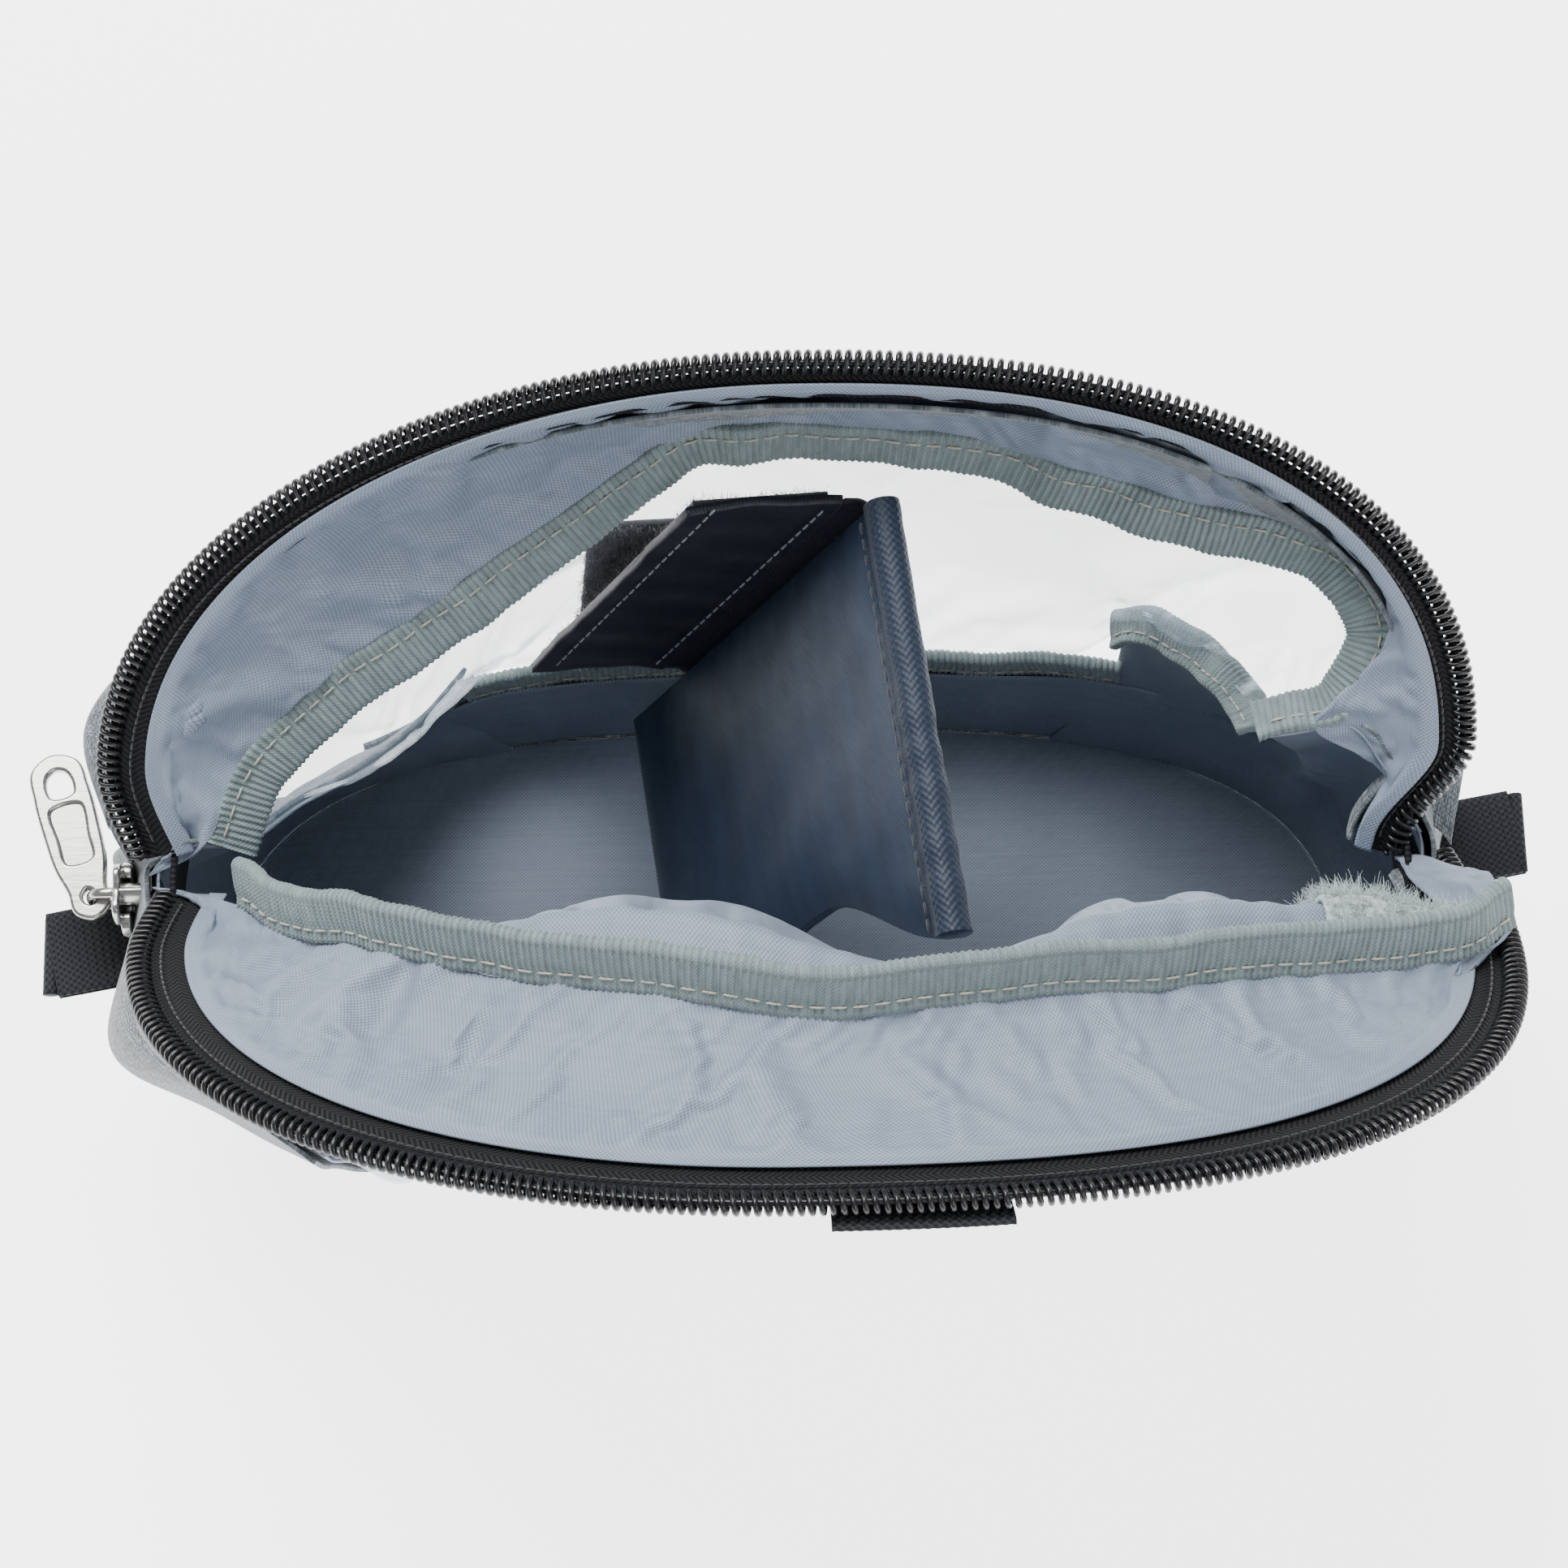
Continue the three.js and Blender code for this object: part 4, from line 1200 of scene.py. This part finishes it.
def gussets():
    for end, label in ((-1, "left"), (1, "right")):
        grid, along, tall = end_panel(end)
        # The shell lies just outside, and stands further out at the two corners below the zip.
        outward = unit(grid * np.array([1, 1, 0]))
        corners = np.exp(-((along - 0.17) / 0.06) ** 2) * 9 * (end < 0) + np.exp(-((along - 0.44) / 0.08) ** 2) * 8
        shell = grid + outward * (1.8 + corners * np.sin(np.pi * np.clip(1 - tall, 0, 1) ** 1.6) ** 0.8)[..., None]
        shell[..., 2] = np.maximum(shell[..., 2], 1.0)
        middle = int(grid.shape[1] * 3 / (len(end_rails(end)[0]) - 1))
        for half, columns, motion in (("front", slice(0, middle + 1), WALL_BLEND),
                                      ("rear", slice(middle, None), REAR_BLEND)):
            lining = skin(f"{label}_end_oxford_{half}", grid[:, columns], 0.4, PAINTED_SHADE_LINING)
            outer = skin(f"{label}_end_heather_{half}", shell[:, columns], 0.7, HEATHER)
            replaced = (f"{label}_gusset_lining",), (f"{label}_gusset",)
            follow(lining, motion, "lining", *(replaced[0] if half == "front" else ()))
            follow(outer, motion, "outer_fabric", *(replaced[1] if half == "front" else ()))
            cloth(lining, grid[:, columns], "stretched", "base_oxford")
            cloth(outer, shell[:, columns], "stretched", "base_heather")


gussets()


# ---------------------------------------------------------------- front pocket

LOBES = ((-18, 36, 22), (55, 27, 22), (88, 13, 11))  # middle, half width and depth of each lobe


def pocket(edge):
    columns, rows = 110, 40
    top = rail(thin(edge, 15), columns)
    top = top + np.array([0, 1.2, -0.5])
    foot = wall(-1, top[:, 0] * 0.86, np.full(columns, 20.0), 7)
    tall = np.linspace(0, 1, rows)[:, None]
    grid = mix(top[None], foot[None], tall[..., None])
    lobes = sum(depth * np.exp(-np.abs((grid[..., 0] - x) / half) ** 2.6) for x, half, depth in LOBES)
    inward = lobes * np.sin(np.pi * tall ** 0.55) ** 0.8
    grid = grid + np.stack([0 * inward, inward, 3.0 * np.sin(np.pi * tall ** 0.5) * lobes / 22], axis=-1)
    grid = drape(grid, pins(rows, columns), grow=0.016, bending=6)
    fine = refine(grid, 170, 460)
    u, v = grid_lengths(fine)
    share = v / v.max()
    gather = np.exp(-(share / 0.12) ** 2) * 0.35 * ripple(u, 0.3 * v, 101, 5, 12)
    fine = fine + grid_normals(fine) * (0.7 * ripple(u, v, 102, 20, 60) * np.sin(np.pi * share) + gather)[..., None]
    panel = skin("pocket_oxford", fine, 0.4, LINING)
    follow(panel, POCKET_BLEND, "lining", "front_pocket_panel")
    cloth(panel, fine, "hung", "front_pocket_grosgrain")
    return fine


pocket_cloth = pocket(front_edge)


def fibres(name, grid, count, length, radius, material, seed, lean=0.8):
    """Short curled fibres standing on a grid of points."""
    random = np.random.default_rng(seed)
    rows, columns = grid.shape[:2]
    normal = grid_normals(grid)
    j = random.integers(0, rows, count)
    i = random.integers(0, columns, count)
    root = grid[j, i] + random.normal(0, 0.25, (count, 3))
    up = unit(normal[j, i] + random.normal(0, lean, (count, 3)) * 0.6)
    bend = unit(random.normal(0, 1, (count, 3)))
    steps = np.linspace(0, 1, 5)
    long = length * random.uniform(0.5, 1.3, count)
    line = (root[:, None] + up[:, None] * (steps[None, :, None] * long[:, None, None])
            + bend[:, None] * (steps[None, :, None] ** 2 * long[:, None, None] * 0.8))
    ahead = unit(np.gradient(line, axis=1))
    across = unit(np.cross(ahead, bend[:, None] + 0.01))
    over = np.cross(ahead, across)
    turn = 2 * math.pi * np.arange(4) / 4
    width = radius * np.array([1, 1, 0.9, 0.7, 0.3])
    ring = np.cos(turn)[None, None, :, None] * across[:, :, None] + np.sin(turn)[None, None, :, None] * over[:, :, None]
    points = line[:, :, None] + ring * width[None, :, None, None]
    base = grid_faces(5, 4, wrap=True)
    base = np.concatenate([base, [[3, 2, 1, 0]], [[16, 17, 18, 19]]])
    faces = (base[None] + (np.arange(count) * 20)[:, None, None]).reshape(-1, 4)
    points = points.reshape(-1, 3)
    return make_mesh(name, points, faces, material, np.zeros((len(points), 2)))


def loop_patch(cloth):
    """Pale loop patch inside the pocket's right end."""
    rows, columns = cloth.shape[:2]
    piece = cloth[int(rows * 0.015):int(rows * 0.16), int(columns * 0.84):int(columns * 0.985)]
    normal = grid_normals(piece)
    if normal[..., 1].mean() < 0:
        normal = -normal
    raised = piece + normal * 1.0
    u, v = grid_lengths(raised)
    raised = raised + normal * (0.3 * ripple(u, v, 111, 2.5, 7))[..., None]
    base = skin("pocket_loop_backing", raised, 1.0, PALE_LOOP)
    follow(base, POCKET_BLEND, "hook_loop", "pocket_loop_patch")
    fuzz = fibres("pocket_loop_pile", raised + normal * 0.5, 5200, 1.9, 0.055, PALE_LOOP, 112, lean=1.4)
    follow(fuzz, POCKET_BLEND, "hook_loop")


loop_patch(pocket_cloth)


def loop_strip():
    low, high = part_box("rear_loop_strip")
    rows, columns = 90, 34
    t = np.linspace(0, 1, rows)[:, None]
    x = mix(low.x / MM, low.x / MM + 18, np.linspace(0, 1, columns))[None] + 4 * t
    z = mix(low.z / MM, high.z / MM, t) + 0 * x
    grid = wall(1, x + 0 * z, z, 1.6)
    follow(skin("rear_loop_backing", grid, 1.0, LOOP), "pouch", "hook_loop", "rear_loop_strip")
    fuzz = fibres("rear_loop_pile", grid + np.array([0, -0.6, 0]), 5200, 1.1, 0.05, LOOP, 121)
    follow(fuzz, "pouch", "hook_loop")


loop_strip()


# ---------------------------------------------------------------- divider

def divider_axes():
    """Points of the divider's left cover in millimetres, sorted by height rounded to the millimetre and then by Y."""
    mesh = frame["nodes"]["divider_left_cover"].data
    points = np.array([v.co for v in mesh.vertices]) / MM
    rear_low = points[np.lexsort((points[:, 1], points[:, 2].round(0)))]
    return rear_low


DIVIDER_LEAN = math.radians(22.8)
DIVIDER_TURN = math.radians(7.4)
DIVIDER_PLACE = np.array([-25.0, 43.0, 16.0])
DIVIDER = {"height": 103, "top": 68, "middle": 53, "bottom": 55, "depth": 5.6}


def divider_point(points):
    """From the divider's own axes (thickness, rear to front as -Y, up) to the row frame."""
    lean, turn = DIVIDER_LEAN, DIVIDER_TURN
    upright = np.array([[math.cos(lean), 0, math.sin(lean)], [0, 1, 0], [-math.sin(lean), 0, math.cos(lean)]])
    turned = np.array([[math.cos(turn), -math.sin(turn), 0], [math.sin(turn), math.cos(turn), 0], [0, 0, 1]])
    return np.asarray(points, float) @ (turned @ upright).T + DIVIDER_PLACE


def divider_outline(share_up):
    """Front and rear Y at a share of the height."""
    low = mix(DIVIDER["bottom"], DIVIDER["middle"], smooth(share_up / 0.6))
    return -mix(low, DIVIDER["top"], smooth((share_up - 0.6) / 0.4)), 0 * share_up


def divider_panel():
    """The padded panel: a crowned form whose edges pull in to a bound seam."""
    columns, rows = 150, 240
    up = np.linspace(0, 1, rows)[:, None]
    over = np.linspace(0, 1, columns)[None]
    front, rear = divider_outline(up)
    y = mix(rear, front, over)
    z = up * DIVIDER["height"] + 0 * over
    edge = np.minimum(np.minimum(over, 1 - over) * 52, np.minimum(up, 1 - up) * DIVIDER["height"])
    thick = 0.9 + (DIVIDER["depth"] / 2 - 0.9) * (1 - np.exp(-(edge / 3.2) ** 1.3))
    sides = []
    for sign in (1, -1):
        bumps = 0.28 * ripple(y, z, 131 + sign, 12, 45) * (1 - np.exp(-(edge / 6) ** 2))
        sides.append(np.stack([sign * (thick + bumps), y, z + 0 * thick], axis=-1))
    first, second = (divider_point(s.reshape(-1, 3)) for s in sides)
    face = grid_faces(rows, columns)
    border = np.concatenate([
        np.arange(columns), np.arange(1, rows) * columns + columns - 1,
        (rows - 1) * columns + np.arange(columns - 2, -1, -1), np.arange(rows - 2, 0, -1) * columns])
    following = np.roll(border, -1)
    count = rows * columns
    rim = np.stack([following, border, border + count, following + count], axis=1)
    flat = np.stack([y.ravel(), z.ravel()], axis=1)
    panel = make_mesh("divider_padded_panel", np.concatenate([first, second]),
                      np.concatenate([face, face[:, ::-1] + count, rim]), NAVY, np.tile(flat, (2, 1)))
    follow(panel, "divider", "divider_fabric", "divider_foam", "divider_left_cover", "divider_right_cover")


divider_panel()


def divider_binding():
    """Woven band bound over the divider's top edge, with its stitch lines."""
    height, top = DIVIDER["height"], DIVIDER["top"]
    along_top = np.stack([0 * np.linspace(0, 1, 9), np.linspace(0, -top, 9), np.full(9, height - 1.2)], axis=1)
    centre = divider_point(along_top)
    down = divider_point([[0, 0, -1], [0, 0, 0]])
    across = [down[0] - down[1]] * 2
    tape, rows, face, _, _ = folded_binding("divider_top_band", centre, across, 141, width=5.0, thick=5.4, wave=0.12,
                                            material=NAVY_TAPE, rib=0)
    follow(tape, "divider", "divider_fabric", "divider_top_binding")
    for sign, label in ((1, "right"), (-1, "left")):
        line = divider_point([[sign * 2.75, y, height - 4.0] for y in np.linspace(-1, -top + 1, 60)])
        normal = divider_point([[sign, 0, 0]])[0] - divider_point([[0, 0, 0]])[0]
        sewn = run_stitches(f"divider_{label}_stitches", line, normal, 2.6, 2.0, 0.2, DARK_THREAD)
        follow(sewn, "divider", "divider_fabric")


divider_binding()


def divider_flap():
    low, high = 22, 97
    fold_x, fold_y = np.meshgrid(np.linspace(2.0, -3.6, 14), np.linspace(low, high, 60))
    out = 2.2 - 1.5 * smooth((fold_x + 1.5) / 3.5)
    fold = divider_point(np.stack([fold_x, out, fold_y], axis=-1).reshape(-1, 3)).reshape(60, 14, 3)
    follow(skin("flap_hinge_fold", fold, 0.8, PAINTED_SHADE_NAVY), "divider", "divider_fabric")
    columns, rows = 90, 120
    over = np.linspace(0, 1, columns)[None]
    up = np.linspace(0, 1, rows)[:, None]
    x = -3.9 - 23.8 * over + 0 * up
    z = mix(low, high, up) + 0 * over - 5 * over * up
    y = 2.2 + 0.6 * np.sin(np.pi * over) + 0.3 * ripple(x, z, 151, 9, 30)
    panel = divider_point(np.stack([x, y + 0 * x, z], axis=-1).reshape(-1, 3)).reshape(rows, columns, 3)
    fabric = follow(skin("flap_fabric", panel, 1.5, PAINTED_SHADE_NAVY), "divider_flap", "divider_fabric", "divider_flap")
    cloth(fabric, panel, "hung", "divider_padded_panel")
    hook_y = 3.9
    hook = divider_point(np.stack([x[2:-2, 6:-6], hook_y + 0 * x[2:-2, 6:-6], z[2:-2, 6:-6]], axis=-1).reshape(-1, 3))
    hook = hook.reshape(rows - 4, columns - 12, 3)
    follow(skin("flap_hook_backing", hook, 0.8, HOOK), "divider_flap", "hook_loop", "flap_hook_tape")
    fuzz = fibres("flap_hooks", hook + np.array([0, 0.4, 0]), 4200, 0.8, 0.05, HOOK, 152)
    follow(fuzz, "divider_flap", "hook_loop")
    for offset, label in ((-6.5, "inner"), (-24.5, "outer")):
        line = divider_point([[offset, 1.35, z] for z in np.linspace(low + 2, high - 2, 60)])
        sewn = run_stitches(f"flap_{label}_stitches", line, np.array([0, -1.0, 0]), 2.8, 2.1, 0.2, GREY_THREAD)
        follow(sewn, "divider_flap", "divider_fabric")


divider_flap()


# ---------------------------------------------------------------- slider and puller

SLIDER_LOW, SLIDER_HIGH = (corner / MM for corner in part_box("slider_body"))
SLIDER_X = (SLIDER_LOW.x + SLIDER_HIGH.x) / 2
SLIDER_Z = (SLIDER_LOW.z + SLIDER_HIGH.z) / 2


def rounded(name, outline, low, high, edge, material, place, holes=()):
    """A plate with a rounded edge, cut from an outline in the YZ plane between two X values."""
    shape = bpy.data.curves.new(name, "CURVE")
    shape.dimensions = "2D"
    shape.fill_mode = "BOTH"
    shape.extrude = ((high - low) / 2 - edge) * MM
    shape.bevel_depth = edge * MM
    shape.bevel_resolution = 4
    for loop in (outline, *holes):
        spline = shape.splines.new("POLY")
        spline.points.add(len(loop) - 1)
        spline.points.foreach_set("co", np.concatenate([[a * MM, b * MM, 0, 1] for a, b in loop]).astype(np.float32))
        spline.use_cyclic_u = True
    flat = bpy.data.objects.new(name, shape)
    bpy.context.scene.collection.objects.link(flat)
    bpy.context.view_layer.update()
    mesh = bpy.data.meshes.new_from_object(flat.evaluated_get(bpy.context.evaluated_depsgraph_get()))
    bpy.data.objects.remove(flat)
    mesh.transform(place)
    mesh.materials.clear()
    mesh.materials.append(material)
    for polygon in mesh.polygons:
        polygon.use_smooth = True
    made = bpy.data.objects.new(name, mesh)
    bpy.context.scene.collection.objects.link(made)
    return made


def smooth_loop(points, count=96):
    closed = [*points, points[0]]
    p = np.array([*points[-2:], *closed, *points[1:3]], float)
    t = np.concatenate([[0], np.cumsum(np.linalg.norm(np.diff(p, axis=0), axis=1))])
    inner = np.linspace(t[2], t[len(points) + 2], count + 1)[:-1]
    flat = np.concatenate([p, np.zeros((len(p), 1))], axis=1)
    return [tuple(q[:2]) for q in curve(flat, inner / t[-1])]


def yz_plate(x):
    """Turns a drawing in XY into a plate that faces X at that distance."""
    turn = Matrix(((0, 0, 1), (1, 0, 0), (0, 1, 0))).to_4x4()
    return Matrix.Translation(Vector((x, 0, SLIDER_Z)) * MM) @ turn


def slider():
    half_gap, plate = 2.05, 1.2
    outline = smooth_loop([(-2.6, -6), (2.6, -6), (3.5, -1), (4.4, 2.6), (3.0, 5.6), (0, 5.0), (-3.0, 5.6), (-4.4, 2.6),
                           (-3.5, -1)])
    pieces = []
    for sign, label in ((-1, "outer"), (1, "inner")):
        x = SLIDER_X + sign * (half_gap + plate / 2)
        pieces.append(rounded(f"slider_{label}_plate", outline, -plate / 2, plate / 2, 0.45, NICKEL, yz_plate(x)))
    post = smooth_loop([(0, -1.2), (1.7, 2.6), (0, 5.2), (-1.7, 2.6)], 48)
    pieces.append(rounded("slider_post", post, -2.3, 2.3, 0.15, NICKEL, yz_plate(SLIDER_X)))
    for sign in (-1, 1):
        flange = smooth_loop([(sign * 3.3, -5.6), (sign * 4.0, -5.2), (sign * 4.5, 2), (sign * 3.9, 2.2)], 32)
        label = "front" if sign < 0 else "rear"
        pieces.append(rounded(f"slider_{label}_flange", flange, -0.75, 0.75, 0.2, NICKEL,
                              yz_plate(SLIDER_X - half_gap + 0.5)))
    follow(pieces[0], "slider", "metal", "slider_body")
    for piece in pieces[1:]:
        follow(piece, "slider", "metal")


def bail():
    """Bridge on the outer plate: a bowed strap whose two feet stand on the plate."""
    low, high = (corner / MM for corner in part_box("slider_bail"))
    turn = np.linspace(0, math.pi, 40)
    z = SLIDER_Z - np.cos(turn) * (high.z - low.z - 1.2) / 2
    x = high.x + 0.9 - np.sin(turn) ** 0.55 * (high.x + 0.9 - low.x - 0.6)
    line = np.stack([x, 0 * x, z], axis=1)
    vertices, faces, uv = tube_parts(line, 0.62, (0, 1, 0), around=14)
    vertices[:, 1] *= 1.35
    strap = make_mesh("slider_bridge", vertices, faces, NICKEL, uv)
    follow(strap, "slider", "metal", "slider_bail")
    return low.x + 0.65


def puller(eye_x):
    """Flat link: a thick rounded rim round a teardrop window and a recessed panel, and a hook eye."""
    lean = math.radians(16)
    low, high = (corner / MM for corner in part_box("puller"))
    z = (low.z + high.z) / 2
    place = Matrix.Translation(Vector((eye_x, 0, z)) * MM) @ Matrix.Rotation(lean, 4, "Z")
    rim = smooth_loop([(-2.3, -1.9), (0, -3.2), (2.3, -1.9), (2.6, 1.5), (3.6, 5.5), (4.0, 11), (4.0, 18), (3.4, 22.2),
                       (0, 23.9), (-3.4, 22.2), (-4.0, 18), (-4.0, 11), (-3.6, 5.5), (-2.6, 1.5)], 140)
    window = smooth_loop([(-2.3, 17.2), (2.3, 17.2), (2.6, 19), (1.6, 21.6), (0, 22.2), (-1.6, 21.6), (-2.6, 19)], 60)
    eye = smooth_loop([(-1.5, 0.6), (-1.2, -1.2), (0, -1.8), (1.2, -1.2), (1.5, 0.6), (0, 1.9)], 48)
    slot = smooth_loop([(-2.4, 5.8), (2.4, 5.8), (2.8, 10), (2.7, 15.6), (-2.7, 15.6), (-2.8, 10)], 80)
    body = rounded("puller_link", rim, -1.0, 1.0, 0.55, NICKEL, place, holes=(window, eye, slot))
    follow(body, "puller", "metal", "puller")
    panel = smooth_loop([(-2.9, 5.2), (2.9, 5.2), (3.2, 10), (3.1, 16), (-3.1, 16), (-3.2, 10)], 80)
    recess = rounded("puller_recessed_panel", panel, -0.4, 0.4, 0.12, NICKEL, place)
    follow(recess, "puller", "metal")


slider()
puller(bail())


# ---------------------------------------------------------------- webbing tabs, zip ends and loop

def strap_rings(line, face, width, thick, wave):
    """A flat strap with rounded edges along a line."""
    ahead = tangents(line)
    across = unit(np.cross(ahead, face))
    over = np.cross(across, ahead)
    turn = 2 * math.pi * np.arange(28) / 28
    a = np.sign(np.cos(turn)) * np.abs(np.cos(turn)) ** 0.35 * width / 2
    b = np.sign(np.sin(turn)) * np.abs(np.sin(turn)) ** 0.7 * thick / 2
    far = np.concatenate([[0], np.cumsum(np.linalg.norm(np.diff(line, axis=0), axis=1))])
    rib = 1 + wave * np.cos(2 * math.pi * far / 1.3)[:, None]
    return line[:, None] + across[:, None] * a[None, :, None] + over[:, None] * (b[None] * rib)[..., None]


def tabs():
    for end, label in ((-1, "left"), (1, "right")):
        low, high = (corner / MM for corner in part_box(f"{label}_tab"))
        inner, outer = (high.x, low.x) if end < 0 else (low.x, high.x)
        y, z = (low.y + high.y) / 2, (low.z + high.z) / 2
        span = np.linspace(0, 1, 130)
        tilt = -3.5 if end < 0 else 3.5
        layers = []
        for lift in (0.72, -0.72):
            x = mix(inner + end * 0.2, outer - end * 0.5, span)
            line = np.stack([x, y + tilt * (span - 0.4), z + lift * (0.9 + 0.25 * np.sin(np.pi * span)) + 0 * x], axis=1)
            layers.append(strap_rings(line, np.array([0, 0, 1.0]), high.y - low.y, 1.25, 0.18))
        # The far end is the fold that joins both layers.
        turn = np.linspace(-math.pi / 2, math.pi / 2, 16)
        fold = np.stack([outer - end * 0.6 + end * 0.5 * np.cos(turn), np.full(16, y + tilt * 0.6),
                         z + 0.72 * np.sin(turn)], axis=1)
        parts = [loft_parts(layer) for layer in layers]
        parts.append(tube_parts(np.stack([np.full(20, outer - end * 0.3), np.linspace(low.y + tilt * 0.6 + 0.6,
                                high.y + tilt * 0.6 - 0.6, 20), np.full(20, z)], axis=1), 1.25, (0, 0, 1), around=14))
        vertices, faces, uv = joined(parts)
        follow(make_mesh(f"{label}_webbing_tab", vertices, faces, WEBBING, uv), f"{label}_tab", "webbing", f"{label}_tab")


def zip_ends():
    for end, label in ((-1, "left"), (1, "right")):
        low, high = (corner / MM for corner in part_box(f"{label}_zip_end"))
        y = np.linspace(low.y, high.y, 60)[None]
        z = np.linspace(low.z, high.z, 50)[:, None]
        x = (low.x + high.x) / 2 + end * (0.5 * np.cos(np.pi * y / 12)) + 0 * z
        grid = np.stack([x, y + 0 * z, z + 0 * y], axis=-1)
        follow(skin(f"{label}_end_tape", grid, 0.9, TAPE), "pouch", "zip_tape", f"{label}_zip_end")


def webbing_loop():
    low, high = (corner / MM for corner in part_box("front_webbing_loop"))
    share_line = np.linspace(0, 1, 120)
    x = mix(low.x, high.x, share_line)
    middle = arch(-1, np.interp(x, arch(-1, np.linspace(0, 1, 400))[:, 0], np.linspace(0, 1, 400)), 5.5, 4.6)
    rings = strap_rings(middle, -rim_normal(-1), 13, 1.3, 0.15)
    vertices, faces, uv = loft_parts(rings)
    follow(make_mesh("front_webbing_strap", vertices, faces, WEBBING, uv), "front_rim", "webbing", "front_webbing_loop")


tabs()
zip_ends()
webbing_loop()


# ---------------------------------------------------------------- floor and light

def make_floor():
    mesh = bpy.data.meshes.new("floor")
    size = 4.0
    mesh.from_pydata([(-size, -size, -0.0003), (size, -size, -0.0003), (size, size, -0.0003), (-size, size, -0.0003)],
                     [], [(0, 1, 2, 3)])
    material = bpy.data.materials.new("floor")
    material.use_nodes = True
    material.node_tree.nodes["Principled BSDF"].inputs["Base Color"].default_value = (0.98, 0.98, 0.98, 1)
    material.node_tree.nodes["Principled BSDF"].inputs["Roughness"].default_value = 0.9
    material.node_tree.nodes["Principled BSDF"].inputs["Emission Color"].default_value = (1, 1, 1, 1)
    material.node_tree.nodes["Principled BSDF"].inputs["Emission Strength"].default_value = 3.0
    mesh.materials.append(material)
    floor = bpy.data.objects.new("floor", mesh)
    bpy.context.scene.collection.objects.link(floor)


def softbox(name, place, size, power, colour=(1, 1, 1), aim=(0, 0, 0.08)):
    light = bpy.data.lights.new(name, "AREA")
    light.shape = "RECTANGLE"
    light.size, light.size_y = size
    light.energy = power
    light.color = colour
    holder = bpy.data.objects.new(name, light)
    holder.location = place
    holder.rotation_euler = (Vector(aim) - Vector(place)).to_track_quat("-Z", "Y").to_euler()
    bpy.context.scene.collection.objects.link(holder)


def make_lights():
    world = bpy.data.worlds.new("studio")
    bpy.context.scene.world = world
    world.use_nodes = True
    world.node_tree.nodes["Background"].inputs[0].default_value = (0.95, 0.97, 1, 1)
    world.node_tree.nodes["Background"].inputs[1].default_value = 0.5
    softbox("key", (-0.3, 0.6, 1.0), (0.8, 0.6), 24)
    softbox("fill", (0.5, -0.8, 0.8), (0.8, 0.8), 7)


make_floor()
make_lights()


import json
